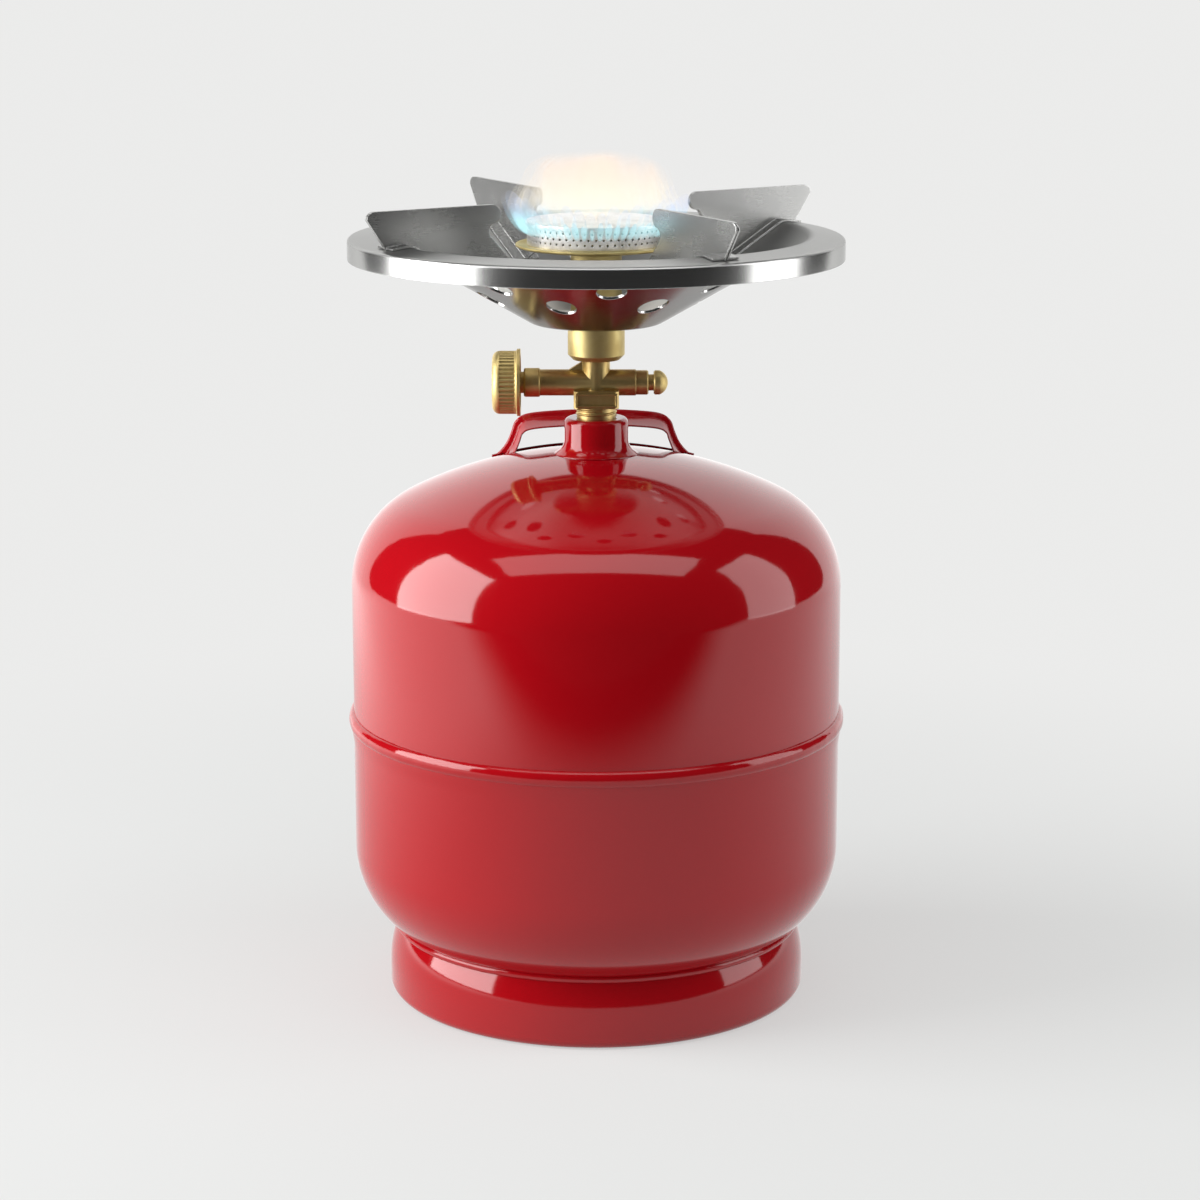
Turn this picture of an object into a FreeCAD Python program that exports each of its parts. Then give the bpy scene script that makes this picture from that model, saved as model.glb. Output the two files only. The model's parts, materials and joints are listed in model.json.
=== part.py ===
import FreeCAD, Part
import Sketcher
import math
import os
import re

# Driving sizes in millimetres and degrees
SIZES = {
    # bottle
    "bottle_radius": 100,
    "shell_wall": 2.5,
    "knuckle_radius": 40,
    "crown_radius": 175,
    "base_clearance": 7.9,
    "straight_length": 109.5,
    "seam_level": 55.0,
    "seam_rise": 1.35,
    "seam_ledge": 2.6,
    "seam_taper": 9,
    "skirt_length": 12,
    "seat_gap": 0.1,
    # foot ring
    "foot_inset": 13.8,
    "foot_wall": 2.5,
    "foot_lean": 1.7,
    "foot_straight": 15,
    "foot_edge": 3.5,
    "foot_flange": 5,
    # neck
    "neck_radius": 13,
    "neck_rise": 13.9,
    "neck_depth": 25.5,
    "neck_edge": 2.2,
    "weld_width": 4.2,
    "weld_height": 5.5,
    "weld_round": 6.5,
    "thread_radius": 7.85,
    "thread_depth": 11.5,
    "thread_show": 4.5,
    "seal_thickness": 1.5,
    "seal_width": 1.1,
    # carrying handle
    "handle_rise": 12.2,
    "handle_bar": 51,
    "handle_corner": 8.5,
    "handle_lean": 16,
    "handle_leg": 10.1,
    "handle_foot_round": 10.5,
    "handle_foot_turn": 60,
    "handle_back": 22.5,
    "handle_width": 19,
    "handle_sheet": 2,
    "handle_flange": 6.2,
    "handle_side": 2.6,
    "handle_hip": 2,
    "handle_shin": 3,
    "handle_turn": 2,
    # self-closing valve in the neck
    "cage_radius": 5.5,
    "cage_height": 20.5,
    "cage_drop": 1,
    "cage_bore": 4.3,
    "cage_mouth": 2.9,
    "cage_lip": 2,
    "cage_cone": 2,
    "cage_outlet": 2.2,
    "cage_end": 2,
    "ball_radius": 3.5,
    "ball_drop": 9.5,
    "spring_wire": 0.4,
    "spring_radius": 2.7,
    "spring_turns": 4.5,
    "pin_radius": 1.6,
    "pin_socket": 6,
    "pin_chamfer": 0.5,
    # tap
    "tap_rise": 14.2,
    "barrel_radius": 5.3,
    "barrel_left": 22.65,
    "barrel_right": 15.93,
    "branch_radius": 4.95,
    "branch_length": 5.14,
    "branch_chamfer": 0.5,
    "inlet_chamfer": 0.8,
    "block_width": 18.2,
    "block_depth": 15.5,
    "block_height": 7,
    "block_chamfer": 1.4,
    "riser_radius": 5.55,
    "cup_rise": 9.6,
    "riser_spigot": 4.5,
    "spigot_height": 4.6,
    "rib_length": 6,
    "rib_height": 3.6,
    "rib_root": 0.3,
    "rib_thickness": 2.6,
    "bore_radius": 3.1,
    "seat_place": 1.5,
    "seat_radius": 1.2,
    "seat_depth": 2,
    "chamber_radius": 2.6,
    "inlet_offset": 5,
    "inlet_radius": 1.5,
    "outlet_offset": 0.5,
    "outlet_radius": 1.3,
    # gland, spindle and knob
    "gland_radius": 5.85,
    "gland_length": 6.65,
    "gland_round": 1.6,
    "gland_spigot": 4,
    "gland_insert": 5,
    "hub_radius": 4.35,
    "hub_reach": 1.7,
    "hub_room": 2,
    "hub_clearance": 0.3,
    "stem_radius": 2.5,
    "stem_gap": 0.05,
    "screw_travel": 1.125,
    "needle_radius": 2,
    "needle_angle": 30,
    "needle_tip": 0.4,
    "needle_length": 3,
    "ring_place": 14.5,
    "ring_wire": 0.7,
    "ring_shoulder": 1.4,
    "knob_radius": 12.75,
    "knob_length": 11.3,
    "knob_start": 30.7,
    "knob_round": 3,
    "knob_flange": 0.85,
    "knob_flange_width": 1.3,
    "knob_recess": 5.2,
    "knob_wall": 1.6,
    "knob_draft": 0.6,
    "flute_width": 1.2,
    "flute_depth": 0.55,
    "flute_count": 44,
    "screw_head": 3.4,
    "screw_head_height": 0.9,
    "screw_crown": 0.8,
    "screw_slot": 0.9,
    "screw_clearance": 0.6,
    "screw_gap": 0.3,
    "screw_recess": 1.3,
    "screw_shank": 1.4,
    "screw_length": 6,
    # side plug
    "plug_radius": 4.92,
    "plug_neck": 3.3,
    "plug_neck_length": 2.14,
    "plug_length": 5.74,
    "plug_nose": 3.4,
    "plug_chamfer": 0.5,
    "plug_insert": 7,
    # jet and mixing cup
    "jet_thread": 2.3,
    "jet_radius": 3.3,
    "jet_height": 4,
    "jet_hole": 0.5,
    "cup_radius": 11.5,
    "cup_wall": 2.4,
    "cup_floor": 2,
    "cup_chamfer": 2,
    "cup_height": 14.6,
    "air_hole": 1.4,
    "air_circle": 7.3,
    "air_count": 8,
    # dish
    "sheet": 1,
    "dish_radius": 99.7,
    "dish_depth": 36.1,
    "floor_radius": 23.086,
    "dish_hole": 9,
    "floor_round": 8,
    "crest_round": 7,
    "crest_inset": 11.8,
    "lip_fall": 7,
    "rim_round": 1.6,
    "rim_drop": 9.4,
    "vent_radius": 6,
    "vent_low": 46.9,
    "vent_low_turn": 28.2,
    "vent_high": 60.5,
    "vent_high_turn": 5.7,
    "vent_count": 8,
    "washer_radius": 15,
    "washer_thickness": 0.8,
    # burner
    "mixer_radius": 10.3,
    "mixer_bore": 7.3,
    "mixer_length": 26.4,
    "mixer_spigot": 9,
    "mixer_insert": 9,
    "mixer_collar": 2.4,
    "pan_margin": 4.6,
    "pan_height": 4,
    "pan_edge": 1.3,
    "pan_floor": 1.6,
    "pan_hub": 2.5,
    "pan_lip": 1,
    "pan_round": 0.3,
    "pan_seat": 3,
    "pan_bore": 8.5,
    "ring_radius": 27.8,
    "ring_sheet": 0.8,
    "ring_height": 8.5,
    "cap_overlap": 0.7,
    "cap_lip": 1,
    "cap_sheet": 0.9,
    "cap_dome": 1.4,
    "cap_round": 0.5,
    "cap_clearance": 0.3,
    # pot supports
    "fin_rise": 14.2,
    "fin_overhang": 3.3,
    "fin_inset": 4.7,
    "fin_heel": 56.5,
    "fin_toe": 40.7,
    "fin_toe_drop": 7,
    "fin_tip": 43.9,
    "fin_lobe": 3.7,
    "fin_notch": 48.9,
    "fin_notch_drop": 12.4,
    "fin_notch_round": 3.4,
    "fin_corner": 3.2,
    "fin_thickness": 1.8,
    "fin_gap": 0.5,
    "fin_fold": 0.8,
    "fin_spare": 5,
    "fin_foot": 12,
    "fin_foot_sheet": 0.8,
    "fin_foot_gap": 0.25,
    "fin_turn": 31,
}

doc = FreeCAD.newDocument("camp_stove")
sheet = doc.addObject("Spreadsheet::Sheet", "Sizes")
for row, (alias, number) in enumerate(SIZES.items(), start=1):
    sheet.set(f"A{row}", alias)
    sheet.set(f"B{row}", str(number))
    sheet.setAlias(f"B{row}", alias)
doc.recompute()


def bound(formula):
    """A formula in size names, written for a property that follows the sheet."""
    def named(word):
        return "Sizes." + word[0] if word[0] in SIZES else word[0]
    return re.sub(r"[A-Za-z_]\w*", named, str(formula))


def value(formula):
    return float(sheet.evalExpression(bound(formula)))


def follow(thing, prop, formula):
    thing.setExpression(prop, bound(formula))


def new_body(label, height=None, turn=None):
    """A body standing at a height above the floor, turned about the upright axis."""
    body = doc.addObject("PartDesign::Body", label)
    body.Label = label
    if height is not None:
        follow(body, "Placement.Base.z", height)
    if turn is not None:
        body.Placement.Rotation = FreeCAD.Rotation(FreeCAD.Vector(0, 0, 1), value(turn))
        follow(body, "Placement.Rotation.Angle", turn)
    return body


def new_sketch(body, name, plane, offset=None):
    drawing = body.newObject("Sketcher::SketchObject", name)
    support = [item for item in body.Origin.OriginFeatures if item.Role == plane]
    drawing.AttachmentSupport = [(support[0], "")]
    drawing.MapMode = "FlatFace"
    if offset is not None:
        follow(drawing, "AttachmentOffset.Base.z", offset)
    return drawing


def pin_point(drawing, edge, end, across, up):
    """Hold one point of a sketch at a place given by two formulas."""
    for kind, formula in (("DistanceX", across), ("DistanceY", up)):
        rule = drawing.addConstraint(Sketcher.Constraint(kind, edge, end, value(formula)))
        follow(drawing, f"Constraints[{rule}]", formula)


def arc_between(start, finish, radius, turn):
    """The shorter arc from start to finish, turning left (1) or right (-1)."""
    chord = finish - start
    lift = math.sqrt(max(radius ** 2 - (chord.Length / 2) ** 2, 0))
    side = FreeCAD.Vector(-chord.y, chord.x, 0) / chord.Length
    centre = (start + finish) / 2 + side * lift * turn
    ends = (start, finish) if turn > 0 else (finish, start)
    angles = [math.atan2(spot.y - centre.y, spot.x - centre.x) for spot in ends]
    if angles[1] < angles[0]:
        angles[1] += 2 * math.pi
    return Part.ArcOfCircle(Part.Circle(centre, FreeCAD.Vector(0, 0, 1), radius), *angles)


def draw(body, name, plane, corners, offset=None):
    """A closed outline of corners (across, up), or (across, up, radius, turn) after an arc."""
    drawing = new_sketch(body, name, plane, offset)
    spots = [FreeCAD.Vector(value(corner[0]), value(corner[1]), 0) for corner in corners]
    last = []
    first = []
    for place, corner in enumerate(corners):
        start, finish = spots[place - 1], spots[place]
        if len(corner) == 2:
            drawing.addGeometry(Part.LineSegment(start, finish))
            first.append(1)
            last.append(2)
        else:
            drawing.addGeometry(arc_between(start, finish, value(corner[2]), corner[3]))
            first.append(1 if corner[3] > 0 else 2)
            last.append(2 if corner[3] > 0 else 1)
    for place, corner in enumerate(corners):
        after = (place + 1) % len(corners)
        joint = ("Coincident", place, last[place], after, first[after])
        drawing.addConstraint(Sketcher.Constraint(*joint))
        pin_point(drawing, place, last[place], corner[0], corner[1])
        if len(corner) > 2:
            rule = drawing.addConstraint(Sketcher.Constraint("Radius", place, value(corner[2])))
            follow(drawing, f"Constraints[{rule}]", corner[2])
    return drawing


def draw_circle(body, name, plane, across, up, radius, offset=None):
    drawing = new_sketch(body, name, plane, offset)
    spot = FreeCAD.Vector(value(across), value(up), 0)
    drawing.addGeometry(Part.Circle(spot, FreeCAD.Vector(0, 0, 1), value(radius)))
    pin_point(drawing, 0, 3, across, up)
    rule = drawing.addConstraint(Sketcher.Constraint("Radius", 0, value(radius)))
    follow(drawing, f"Constraints[{rule}]", radius)
    return drawing


def feature(body, kind, name, profile, **settings):
    """One solid feature; settings that are formulas follow the sheet."""
    made = body.newObject("PartDesign::" + kind, name)
    made.Profile = profile
    for prop, setting in settings.items():
        if prop == "Length":
            follow(made, prop, setting)
        else:
            setattr(made, prop, setting)
    return made


def turn_round(body, name, corners, axis="V_Axis", kind="Revolution"):
    profile = draw(body, name + "_outline", "XZ_Plane", corners)
    return feature(body, kind, name, profile, ReferenceAxis=(profile, [axis]))


def turned(label, corners, height=None, axis="V_Axis"):
    """A piece that is round about the upright axis, or about the tap's axis with H_Axis."""
    body = new_body(label, height)
    turn_round(body, label + "_turned", corners, axis)
    return body


def around(body, name, original, profile, count):
    """Repeat a feature evenly round the normal of its sketch."""
    pattern = body.newObject("PartDesign::PolarPattern", name)
    pattern.Originals = [original]
    pattern.Axis = (profile, ["N_Axis"])
    pattern.Angle = 360
    follow(pattern, "Occurrences", count)
    body.Tip = pattern
    return pattern


def bow(half_width, rise):
    """Radius of a round end that rises from an edge to the axis."""
    return f"((({half_width})^2 + ({rise})^2) / (2 * ({rise})))"


# Levels that the pieces take from each other, from the floor upwards
KNUCKLE = "(bottle_radius - knuckle_radius)"
SPREAD = "(crown_radius - knuckle_radius)"
DROP = f"sqrt({SPREAD}^2 - {KNUCKLE}^2)"
LOWER = f"(base_clearance + crown_radius - {DROP})"
UPPER = f"({LOWER} + straight_length)"
SEAM = f"({LOWER} + seam_level)"
CROWN_CENTRE = f"({UPPER} - {DROP})"
CROWN_TOP = f"({CROWN_CENTRE} + crown_radius)"
NECK_TOP = f"({CROWN_TOP} + neck_rise)"
SHOULDER = f"({NECK_TOP} - thread_depth - seal_thickness)"
TAP = f"({NECK_TOP} + tap_rise)"
CUP = f"({TAP} + cup_rise)"
DISH = f"({CUP} + cup_height)"
PAN = f"({DISH} + sheet + washer_thickness + mixer_length)"
RING = f"({PAN} + pan_height)"
CAP = f"({RING} + ring_height)"


def joint_radius(wall):
    """Where the crown meets the knuckle, on a surface inside the outer one by the wall."""
    return f"({KNUCKLE} + (knuckle_radius - {wall}) * {KNUCKLE} / {SPREAD})"


def joint_rise(wall):
    return f"((knuckle_radius - {wall}) * {DROP} / {SPREAD})"


def crown_height(radius):
    return f"({CROWN_CENTRE} + sqrt(crown_radius^2 - ({radius})^2))"


def base_height(radius):
    return f"({LOWER} - sqrt(knuckle_radius^2 - ({radius} - {KNUCKLE})^2))"


# Lower half of the bottle, its rim swelling into the girth seam
INNER = joint_radius("shell_wall")
INNER_RISE = joint_rise("shell_wall")
turned("lower_shell", [
    ("0", "base_clearance"),
    (joint_radius(0), f"{LOWER} - {joint_rise(0)}", "crown_radius", 1),
    ("bottle_radius", LOWER, "knuckle_radius", 1),
    ("bottle_radius", f"{SEAM} - seam_ledge - seam_taper"),
    ("bottle_radius + seam_rise", f"{SEAM} - seam_ledge"),
    ("bottle_radius", SEAM, bow("seam_ledge", "seam_rise"), 1),
    ("bottle_radius - shell_wall", SEAM),
    ("bottle_radius - shell_wall", LOWER),
    (INNER, f"{LOWER} - {INNER_RISE}", "knuckle_radius - shell_wall", -1),
    ("0", "base_clearance + shell_wall", "crown_radius - shell_wall", -1),
])

# Upper half, with a swaged skirt that slips inside the lower half
SKIRT = "(bottle_radius - shell_wall - seat_gap)"
HOLE = "(neck_radius + seat_gap)"
turned("upper_shell", [
    (f"{SKIRT} - shell_wall", f"{SEAM} - skirt_length"),
    (SKIRT, f"{SEAM} - skirt_length"),
    (SKIRT, SEAM),
    ("bottle_radius", SEAM),
    ("bottle_radius", UPPER),
    (joint_radius(0), f"{UPPER} + {joint_rise(0)}", "knuckle_radius", 1),
    (HOLE, crown_height(HOLE), "crown_radius", 1),
    (HOLE, f"{CROWN_CENTRE} + sqrt((crown_radius - shell_wall)^2 - {HOLE}^2)"),
    (INNER, f"{UPPER} + {INNER_RISE}", "crown_radius - shell_wall", -1),
    ("bottle_radius - shell_wall", UPPER, "knuckle_radius - shell_wall", -1),
    ("bottle_radius - shell_wall", f"{SEAM} + shell_wall"),
    (f"{SKIRT} - shell_wall", SEAM),
])

# Foot ring: straight wall, leaning in to meet the base, turned in at the floor
FOOT = "(bottle_radius - foot_inset)"
FOOT_TOP = f"({FOOT} - foot_lean)"
FOOT_RISE = f"({base_height(FOOT_TOP)} - foot_straight)"
FOOT_BOW = bow(FOOT_RISE, "foot_lean")
turned("foot_ring", [
    (f"{FOOT} - foot_wall - foot_flange", "0"),
    (f"{FOOT} - foot_edge", "0"),
    (FOOT, "foot_edge", "foot_edge", 1),
    (FOOT, "foot_straight"),
    (FOOT_TOP, base_height(FOOT_TOP), FOOT_BOW, 1),
    (f"{FOOT_TOP} - foot_wall", base_height(f"{FOOT_TOP} - foot_wall"), "knuckle_radius", -1),
    (f"{FOOT} - foot_wall", "foot_straight", f"{FOOT_BOW} - foot_wall", -1),
    (f"{FOOT} - foot_wall", "foot_edge"),
    (f"{FOOT} - foot_edge", "foot_wall", "foot_edge - foot_wall", -1),
    (f"{FOOT} - foot_wall - foot_flange", "foot_wall"),
])

# Neck boss with its weld bead on the crown
BEAD = "(neck_radius + weld_width)"
turned("neck_boss", [
    ("cage_radius + seat_gap", f"{NECK_TOP} - neck_depth"),
    ("neck_radius", f"{NECK_TOP} - neck_depth"),
    ("neck_radius", crown_height("neck_radius")),
    (BEAD, crown_height(BEAD), "crown_radius", -1),
    ("neck_radius", f"{crown_height(BEAD)} + weld_height", "weld_round", -1),
    ("neck_radius", f"{NECK_TOP} - neck_edge"),
    ("neck_radius - neck_edge", NECK_TOP, "neck_edge", 1),
    ("thread_radius + seat_gap", NECK_TOP),
    ("thread_radius + seat_gap", SHOULDER),
    ("cage_radius + seat_gap", SHOULDER),
])

# Carrying handle: a pressed strap with turned-down sides, its feet cut to the crown
handle = new_body("carry_handle", None, "handle_turn")
BAR_END = "(handle_bar / 2)"
BAR_TOP = f"({CROWN_TOP} + handle_rise)"
LEAN_COS = "cos(handle_lean)"
LEAN_SIN = "sin(handle_lean)"


def strap(depth):
    """Right half of the strap's edge at a depth below its outer face, from the bar down to the foot."""
    corner = f"(handle_corner - {depth})"
    knee_x = f"({BAR_END} + {corner} * {LEAN_COS})"
    knee_z = f"({BAR_TOP} - handle_corner + {corner} * {LEAN_SIN})"
    ankle_x = f"({knee_x} + handle_leg * {LEAN_SIN})"
    ankle_z = f"({knee_z} - handle_leg * {LEAN_COS})"
    outer_x = f"({BAR_END} + handle_corner * {LEAN_COS} + handle_leg * {LEAN_SIN})"
    outer_z = f"({BAR_TOP} - handle_corner + handle_corner * {LEAN_SIN} - handle_leg * {LEAN_COS})"
    sweep = f"(handle_foot_round + {depth})"
    toe_x = f"({outer_x} + handle_foot_round * {LEAN_COS} - {sweep} * cos(handle_foot_turn))"
    toe_z = f"({outer_z} + handle_foot_round * {LEAN_SIN} - {sweep} * sin(handle_foot_turn))"
    return corner, (knee_x, knee_z), (ankle_x, ankle_z), sweep, (toe_x, toe_z)


def strap_outline(depth, bar_depth=None):
    """The strap from the front, down to a depth below its outer face, or deeper under the bar."""
    corner, knee, ankle, sweep, toe = strap("0")
    corner_in, knee_in, ankle_in, sweep_in, toe_in = strap(depth)
    flip = "-1 * "
    if bar_depth is None:
        inner_bar = [
            (flip + knee_in[0], knee_in[1]),
            (flip + BAR_END, f"{BAR_TOP} - {depth}", corner_in, -1),
            (BAR_END, f"{BAR_TOP} - {depth}"),
            (knee_in[0], knee_in[1], corner_in, -1),
        ]
    else:
        shin = (f"({knee_in[0]} + handle_shin * {LEAN_SIN})", f"({knee_in[1]} - handle_shin * {LEAN_COS})")
        inner_bar = [
            (flip + shin[0], shin[1]),
            (f"-1 * ({BAR_END} + handle_hip)", f"{BAR_TOP} - {bar_depth}", "handle_corner / 2", -1),
            (f"{BAR_END} + handle_hip", f"{BAR_TOP} - {bar_depth}"),
            (shin[0], shin[1], "handle_corner / 2", -1),
        ]
    return [
        (flip + BAR_END, BAR_TOP),
        (flip + knee[0], knee[1], corner, 1),
        (flip + ankle[0], ankle[1]),
        (flip + toe[0], toe[1], sweep, -1),
        (flip + toe_in[0], toe_in[1]),
        (flip + ankle_in[0], ankle_in[1], sweep_in, 1),
        *inner_bar,
        (ankle_in[0], ankle_in[1]),
        (toe_in[0], toe_in[1], sweep_in, 1),
        (toe[0], toe[1]),
        (ankle[0], ankle[1], sweep, -1),
        (knee[0], knee[1]),
        (BAR_END, BAR_TOP, corner, 1),
    ]


strap_web = draw(handle, "strap_web", "XZ_Plane", strap_outline("handle_sheet"), "-handle_back")
feature(handle, "Pad", "handle_web", strap_web, Length="handle_width", Reversed=True)
strap_side = strap_outline("handle_side", "handle_flange")
strap_front = draw(handle, "strap_front", "XZ_Plane", strap_side, "-handle_back")
feature(handle, "Pad", "handle_front", strap_front, Length="handle_sheet", Reversed=True)
strap_rear = draw(handle, "strap_rear", "XZ_Plane", strap_side, "-handle_back - handle_width")
feature(handle, "Pad", "handle_rear", strap_rear, Length="handle_sheet")
turn_round(handle, "handle_feet", [
    ("0", f"{CROWN_CENTRE}"),
    (joint_radius(0), f"{CROWN_CENTRE}"),
    (joint_radius(0), f"{UPPER} + {joint_rise(0)}"),
    ("0", CROWN_TOP, "crown_radius", 1),
], kind="Groove")

# Self-closing valve in the neck, held open by the tap's pin
CAGE_TOP = "(0 - cage_drop)"
CAGE_FOOT = "(0 - cage_drop - cage_height)"
turned("check_valve_body", [
    ("cage_outlet", CAGE_FOOT),
    ("cage_radius", CAGE_FOOT),
    ("cage_radius", CAGE_TOP),
    ("cage_mouth", CAGE_TOP),
    ("cage_mouth", f"{CAGE_TOP} - cage_lip"),
    ("cage_bore", f"{CAGE_TOP} - cage_lip - cage_cone"),
    ("cage_bore", f"{CAGE_FOOT} + cage_end"),
    ("cage_outlet", f"{CAGE_FOOT} + cage_end"),
], SHOULDER)
turned("check_ball", [
    ("0", "0 - ball_radius"),
    ("ball_radius", "0", "ball_radius", 1),
    ("0", "ball_radius", "ball_radius", 1),
], f"{SHOULDER} - ball_drop")

SPRING_FOOT = f"({SHOULDER} + {CAGE_FOOT} + cage_end + spring_wire)"
SPRING_TOP = f"({SHOULDER} - ball_drop - sqrt((ball_radius + spring_wire)^2 - spring_radius^2))"
spring = new_body("check_spring", SPRING_FOOT)
wire = draw(spring, "spring_wire_section", "XZ_Plane", [
    (f"spring_radius + spring_wire * {round(math.cos(math.radians(step)), 3)}",
     f"spring_wire * {round(math.sin(math.radians(step)), 3)}")
    for step in range(0, 360, 60)
])
coil = spring.newObject("PartDesign::AdditiveHelix", "spring_coil")
coil.Profile = wire
coil.ReferenceAxis = (wire, ["V_Axis"])
coil.Mode = "height-turns-angle"
follow(coil, "Height", f"{SPRING_TOP} - {SPRING_FOOT}")
follow(coil, "Turns", "spring_turns")

# Tap body: barrel across, inlet below, riser above, all drilled
INLET_END = "(0 - tap_rise - thread_depth)"
BLOCK_FOOT = "(thread_show - tap_rise)"
SPIGOT_TOP = "(cup_rise + spigot_height)"
BRANCH_END = "(barrel_right + branch_length)"
valve = new_body("valve_body", TAP)
turn_round(valve, "barrel", [
    ("0 - barrel_left", "0"),
    (BRANCH_END, "0"),
    (BRANCH_END, "branch_radius - branch_chamfer"),
    (f"{BRANCH_END} - branch_chamfer", "branch_radius"),
    ("barrel_right", "branch_radius"),
    ("barrel_right", "barrel_radius"),
    ("0 - barrel_left", "barrel_radius"),
], "H_Axis")
turn_round(valve, "riser", [
    ("0", INLET_END),
    ("thread_radius - inlet_chamfer", INLET_END),
    ("thread_radius", f"{INLET_END} + inlet_chamfer"),
    ("thread_radius", BLOCK_FOOT),
    ("riser_radius", BLOCK_FOOT),
    ("riser_radius", "cup_rise"),
    ("riser_spigot", "cup_rise"),
    ("riser_spigot", SPIGOT_TOP),
    ("0", SPIGOT_TOP),
])
HALF_W = "(block_width / 2)"
HALF_D = "(block_depth / 2)"
block = draw(valve, "block_outline", "XY_Plane", [
    (f"{HALF_W} - block_chamfer", f"0 - {HALF_D}"),
    (HALF_W, f"block_chamfer - {HALF_D}"),
    (HALF_W, f"{HALF_D} - block_chamfer"),
    (f"{HALF_W} - block_chamfer", HALF_D),
    (f"block_chamfer - {HALF_W}", HALF_D),
    (f"0 - {HALF_W}", f"{HALF_D} - block_chamfer"),
    (f"0 - {HALF_W}", f"block_chamfer - {HALF_D}"),
    (f"block_chamfer - {HALF_W}", f"0 - {HALF_D}"),
], BLOCK_FOOT)
feature(valve, "Pad", "block", block, Length="block_height")
rib = draw(valve, "rib_outline", "XZ_Plane", [
    ("0 - riser_radius - rib_length", "barrel_radius - rib_root"),
    ("rib_root - riser_radius", "barrel_radius - rib_root"),
    ("rib_root - riser_radius", "barrel_radius + rib_height"),
])
feature(valve, "Pad", "rib", rib, Length="rib_thickness", Midplane=True)
turn_round(valve, "spindle_bore", [
    ("0 - barrel_left", "0"),
    (BRANCH_END, "0"),
    (BRANCH_END, "chamber_radius"),
    ("seat_place + seat_depth", "chamber_radius"),
    ("seat_place + seat_depth", "seat_radius"),
    ("seat_place", "seat_radius"),
    ("seat_place", "bore_radius"),
    ("gland_insert - barrel_left", "bore_radius"),
    ("gland_insert - barrel_left", "gland_spigot + stem_gap"),
    ("0 - barrel_left", "gland_spigot + stem_gap"),
], "H_Axis", "Groove")
inlet = draw_circle(valve, "inlet_drill", "XY_Plane", "inlet_offset", "0", "inlet_radius")
feature(valve, "Pocket", "inlet_bore", inlet, Length="tap_rise + thread_depth")
outlet = draw_circle(valve, "outlet_drill", "XY_Plane", "0 - outlet_offset", "0", "outlet_radius")
feature(valve, "Pocket", "outlet_bore", outlet, Length=SPIGOT_TOP, Reversed=True)
jet_seat = draw_circle(valve, "jet_drill", "XY_Plane", "0", "0", "jet_thread + stem_gap", SPIGOT_TOP)
feature(valve, "Pocket", "jet_socket", jet_seat, Length="spigot_height")
pin_seat = draw_circle(valve, "pin_drill", "XY_Plane", "0", "0", "pin_radius", INLET_END)
feature(valve, "Pocket", "pin_hole", pin_seat, Length="pin_socket", Reversed=True)

# Seal on the neck's shoulder and the pin that opens the valve below
turned("inlet_seal", [
    ("thread_radius - seat_gap - seal_width", "0"),
    ("thread_radius - seat_gap", "0"),
    ("thread_radius - seat_gap", "seal_thickness"),
    ("thread_radius - seat_gap - seal_width", "seal_thickness"),
], SHOULDER)
PIN_TIP = "(ball_radius - ball_drop)"
PIN_END = "(seal_thickness + pin_socket)"
turned("opening_pin", [
    ("0", PIN_TIP),
    ("pin_radius - pin_chamfer", PIN_TIP),
    ("pin_radius", f"{PIN_TIP} + pin_chamfer"),
    ("pin_radius", PIN_END),
    ("0", PIN_END),
], SHOULDER)

# Gland that keeps the spindle in, with a counterbore for the knob's hub
GLAND_END = "(0 - barrel_left - gland_length)"
turned("gland_nut", [
    (f"{GLAND_END}", "hub_radius + hub_clearance"),
    (f"{GLAND_END} + hub_room", "hub_radius + hub_clearance"),
    (f"{GLAND_END} + hub_room", "stem_radius + stem_gap"),
    ("gland_insert - barrel_left - seat_gap", "stem_radius + stem_gap"),
    ("gland_insert - barrel_left - seat_gap", "gland_spigot"),
    ("0 - barrel_left", "gland_spigot"),
    ("0 - barrel_left", "gland_radius - gland_round / 2"),
    ("0 - barrel_left - gland_round / 2", "gland_radius", "gland_round / 2", 1),
    (f"{GLAND_END} + gland_round / 2", "gland_radius"),
    (f"{GLAND_END}", "gland_radius - gland_round / 2", "gland_round / 2", 1),
], TAP, "H_Axis")

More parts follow.
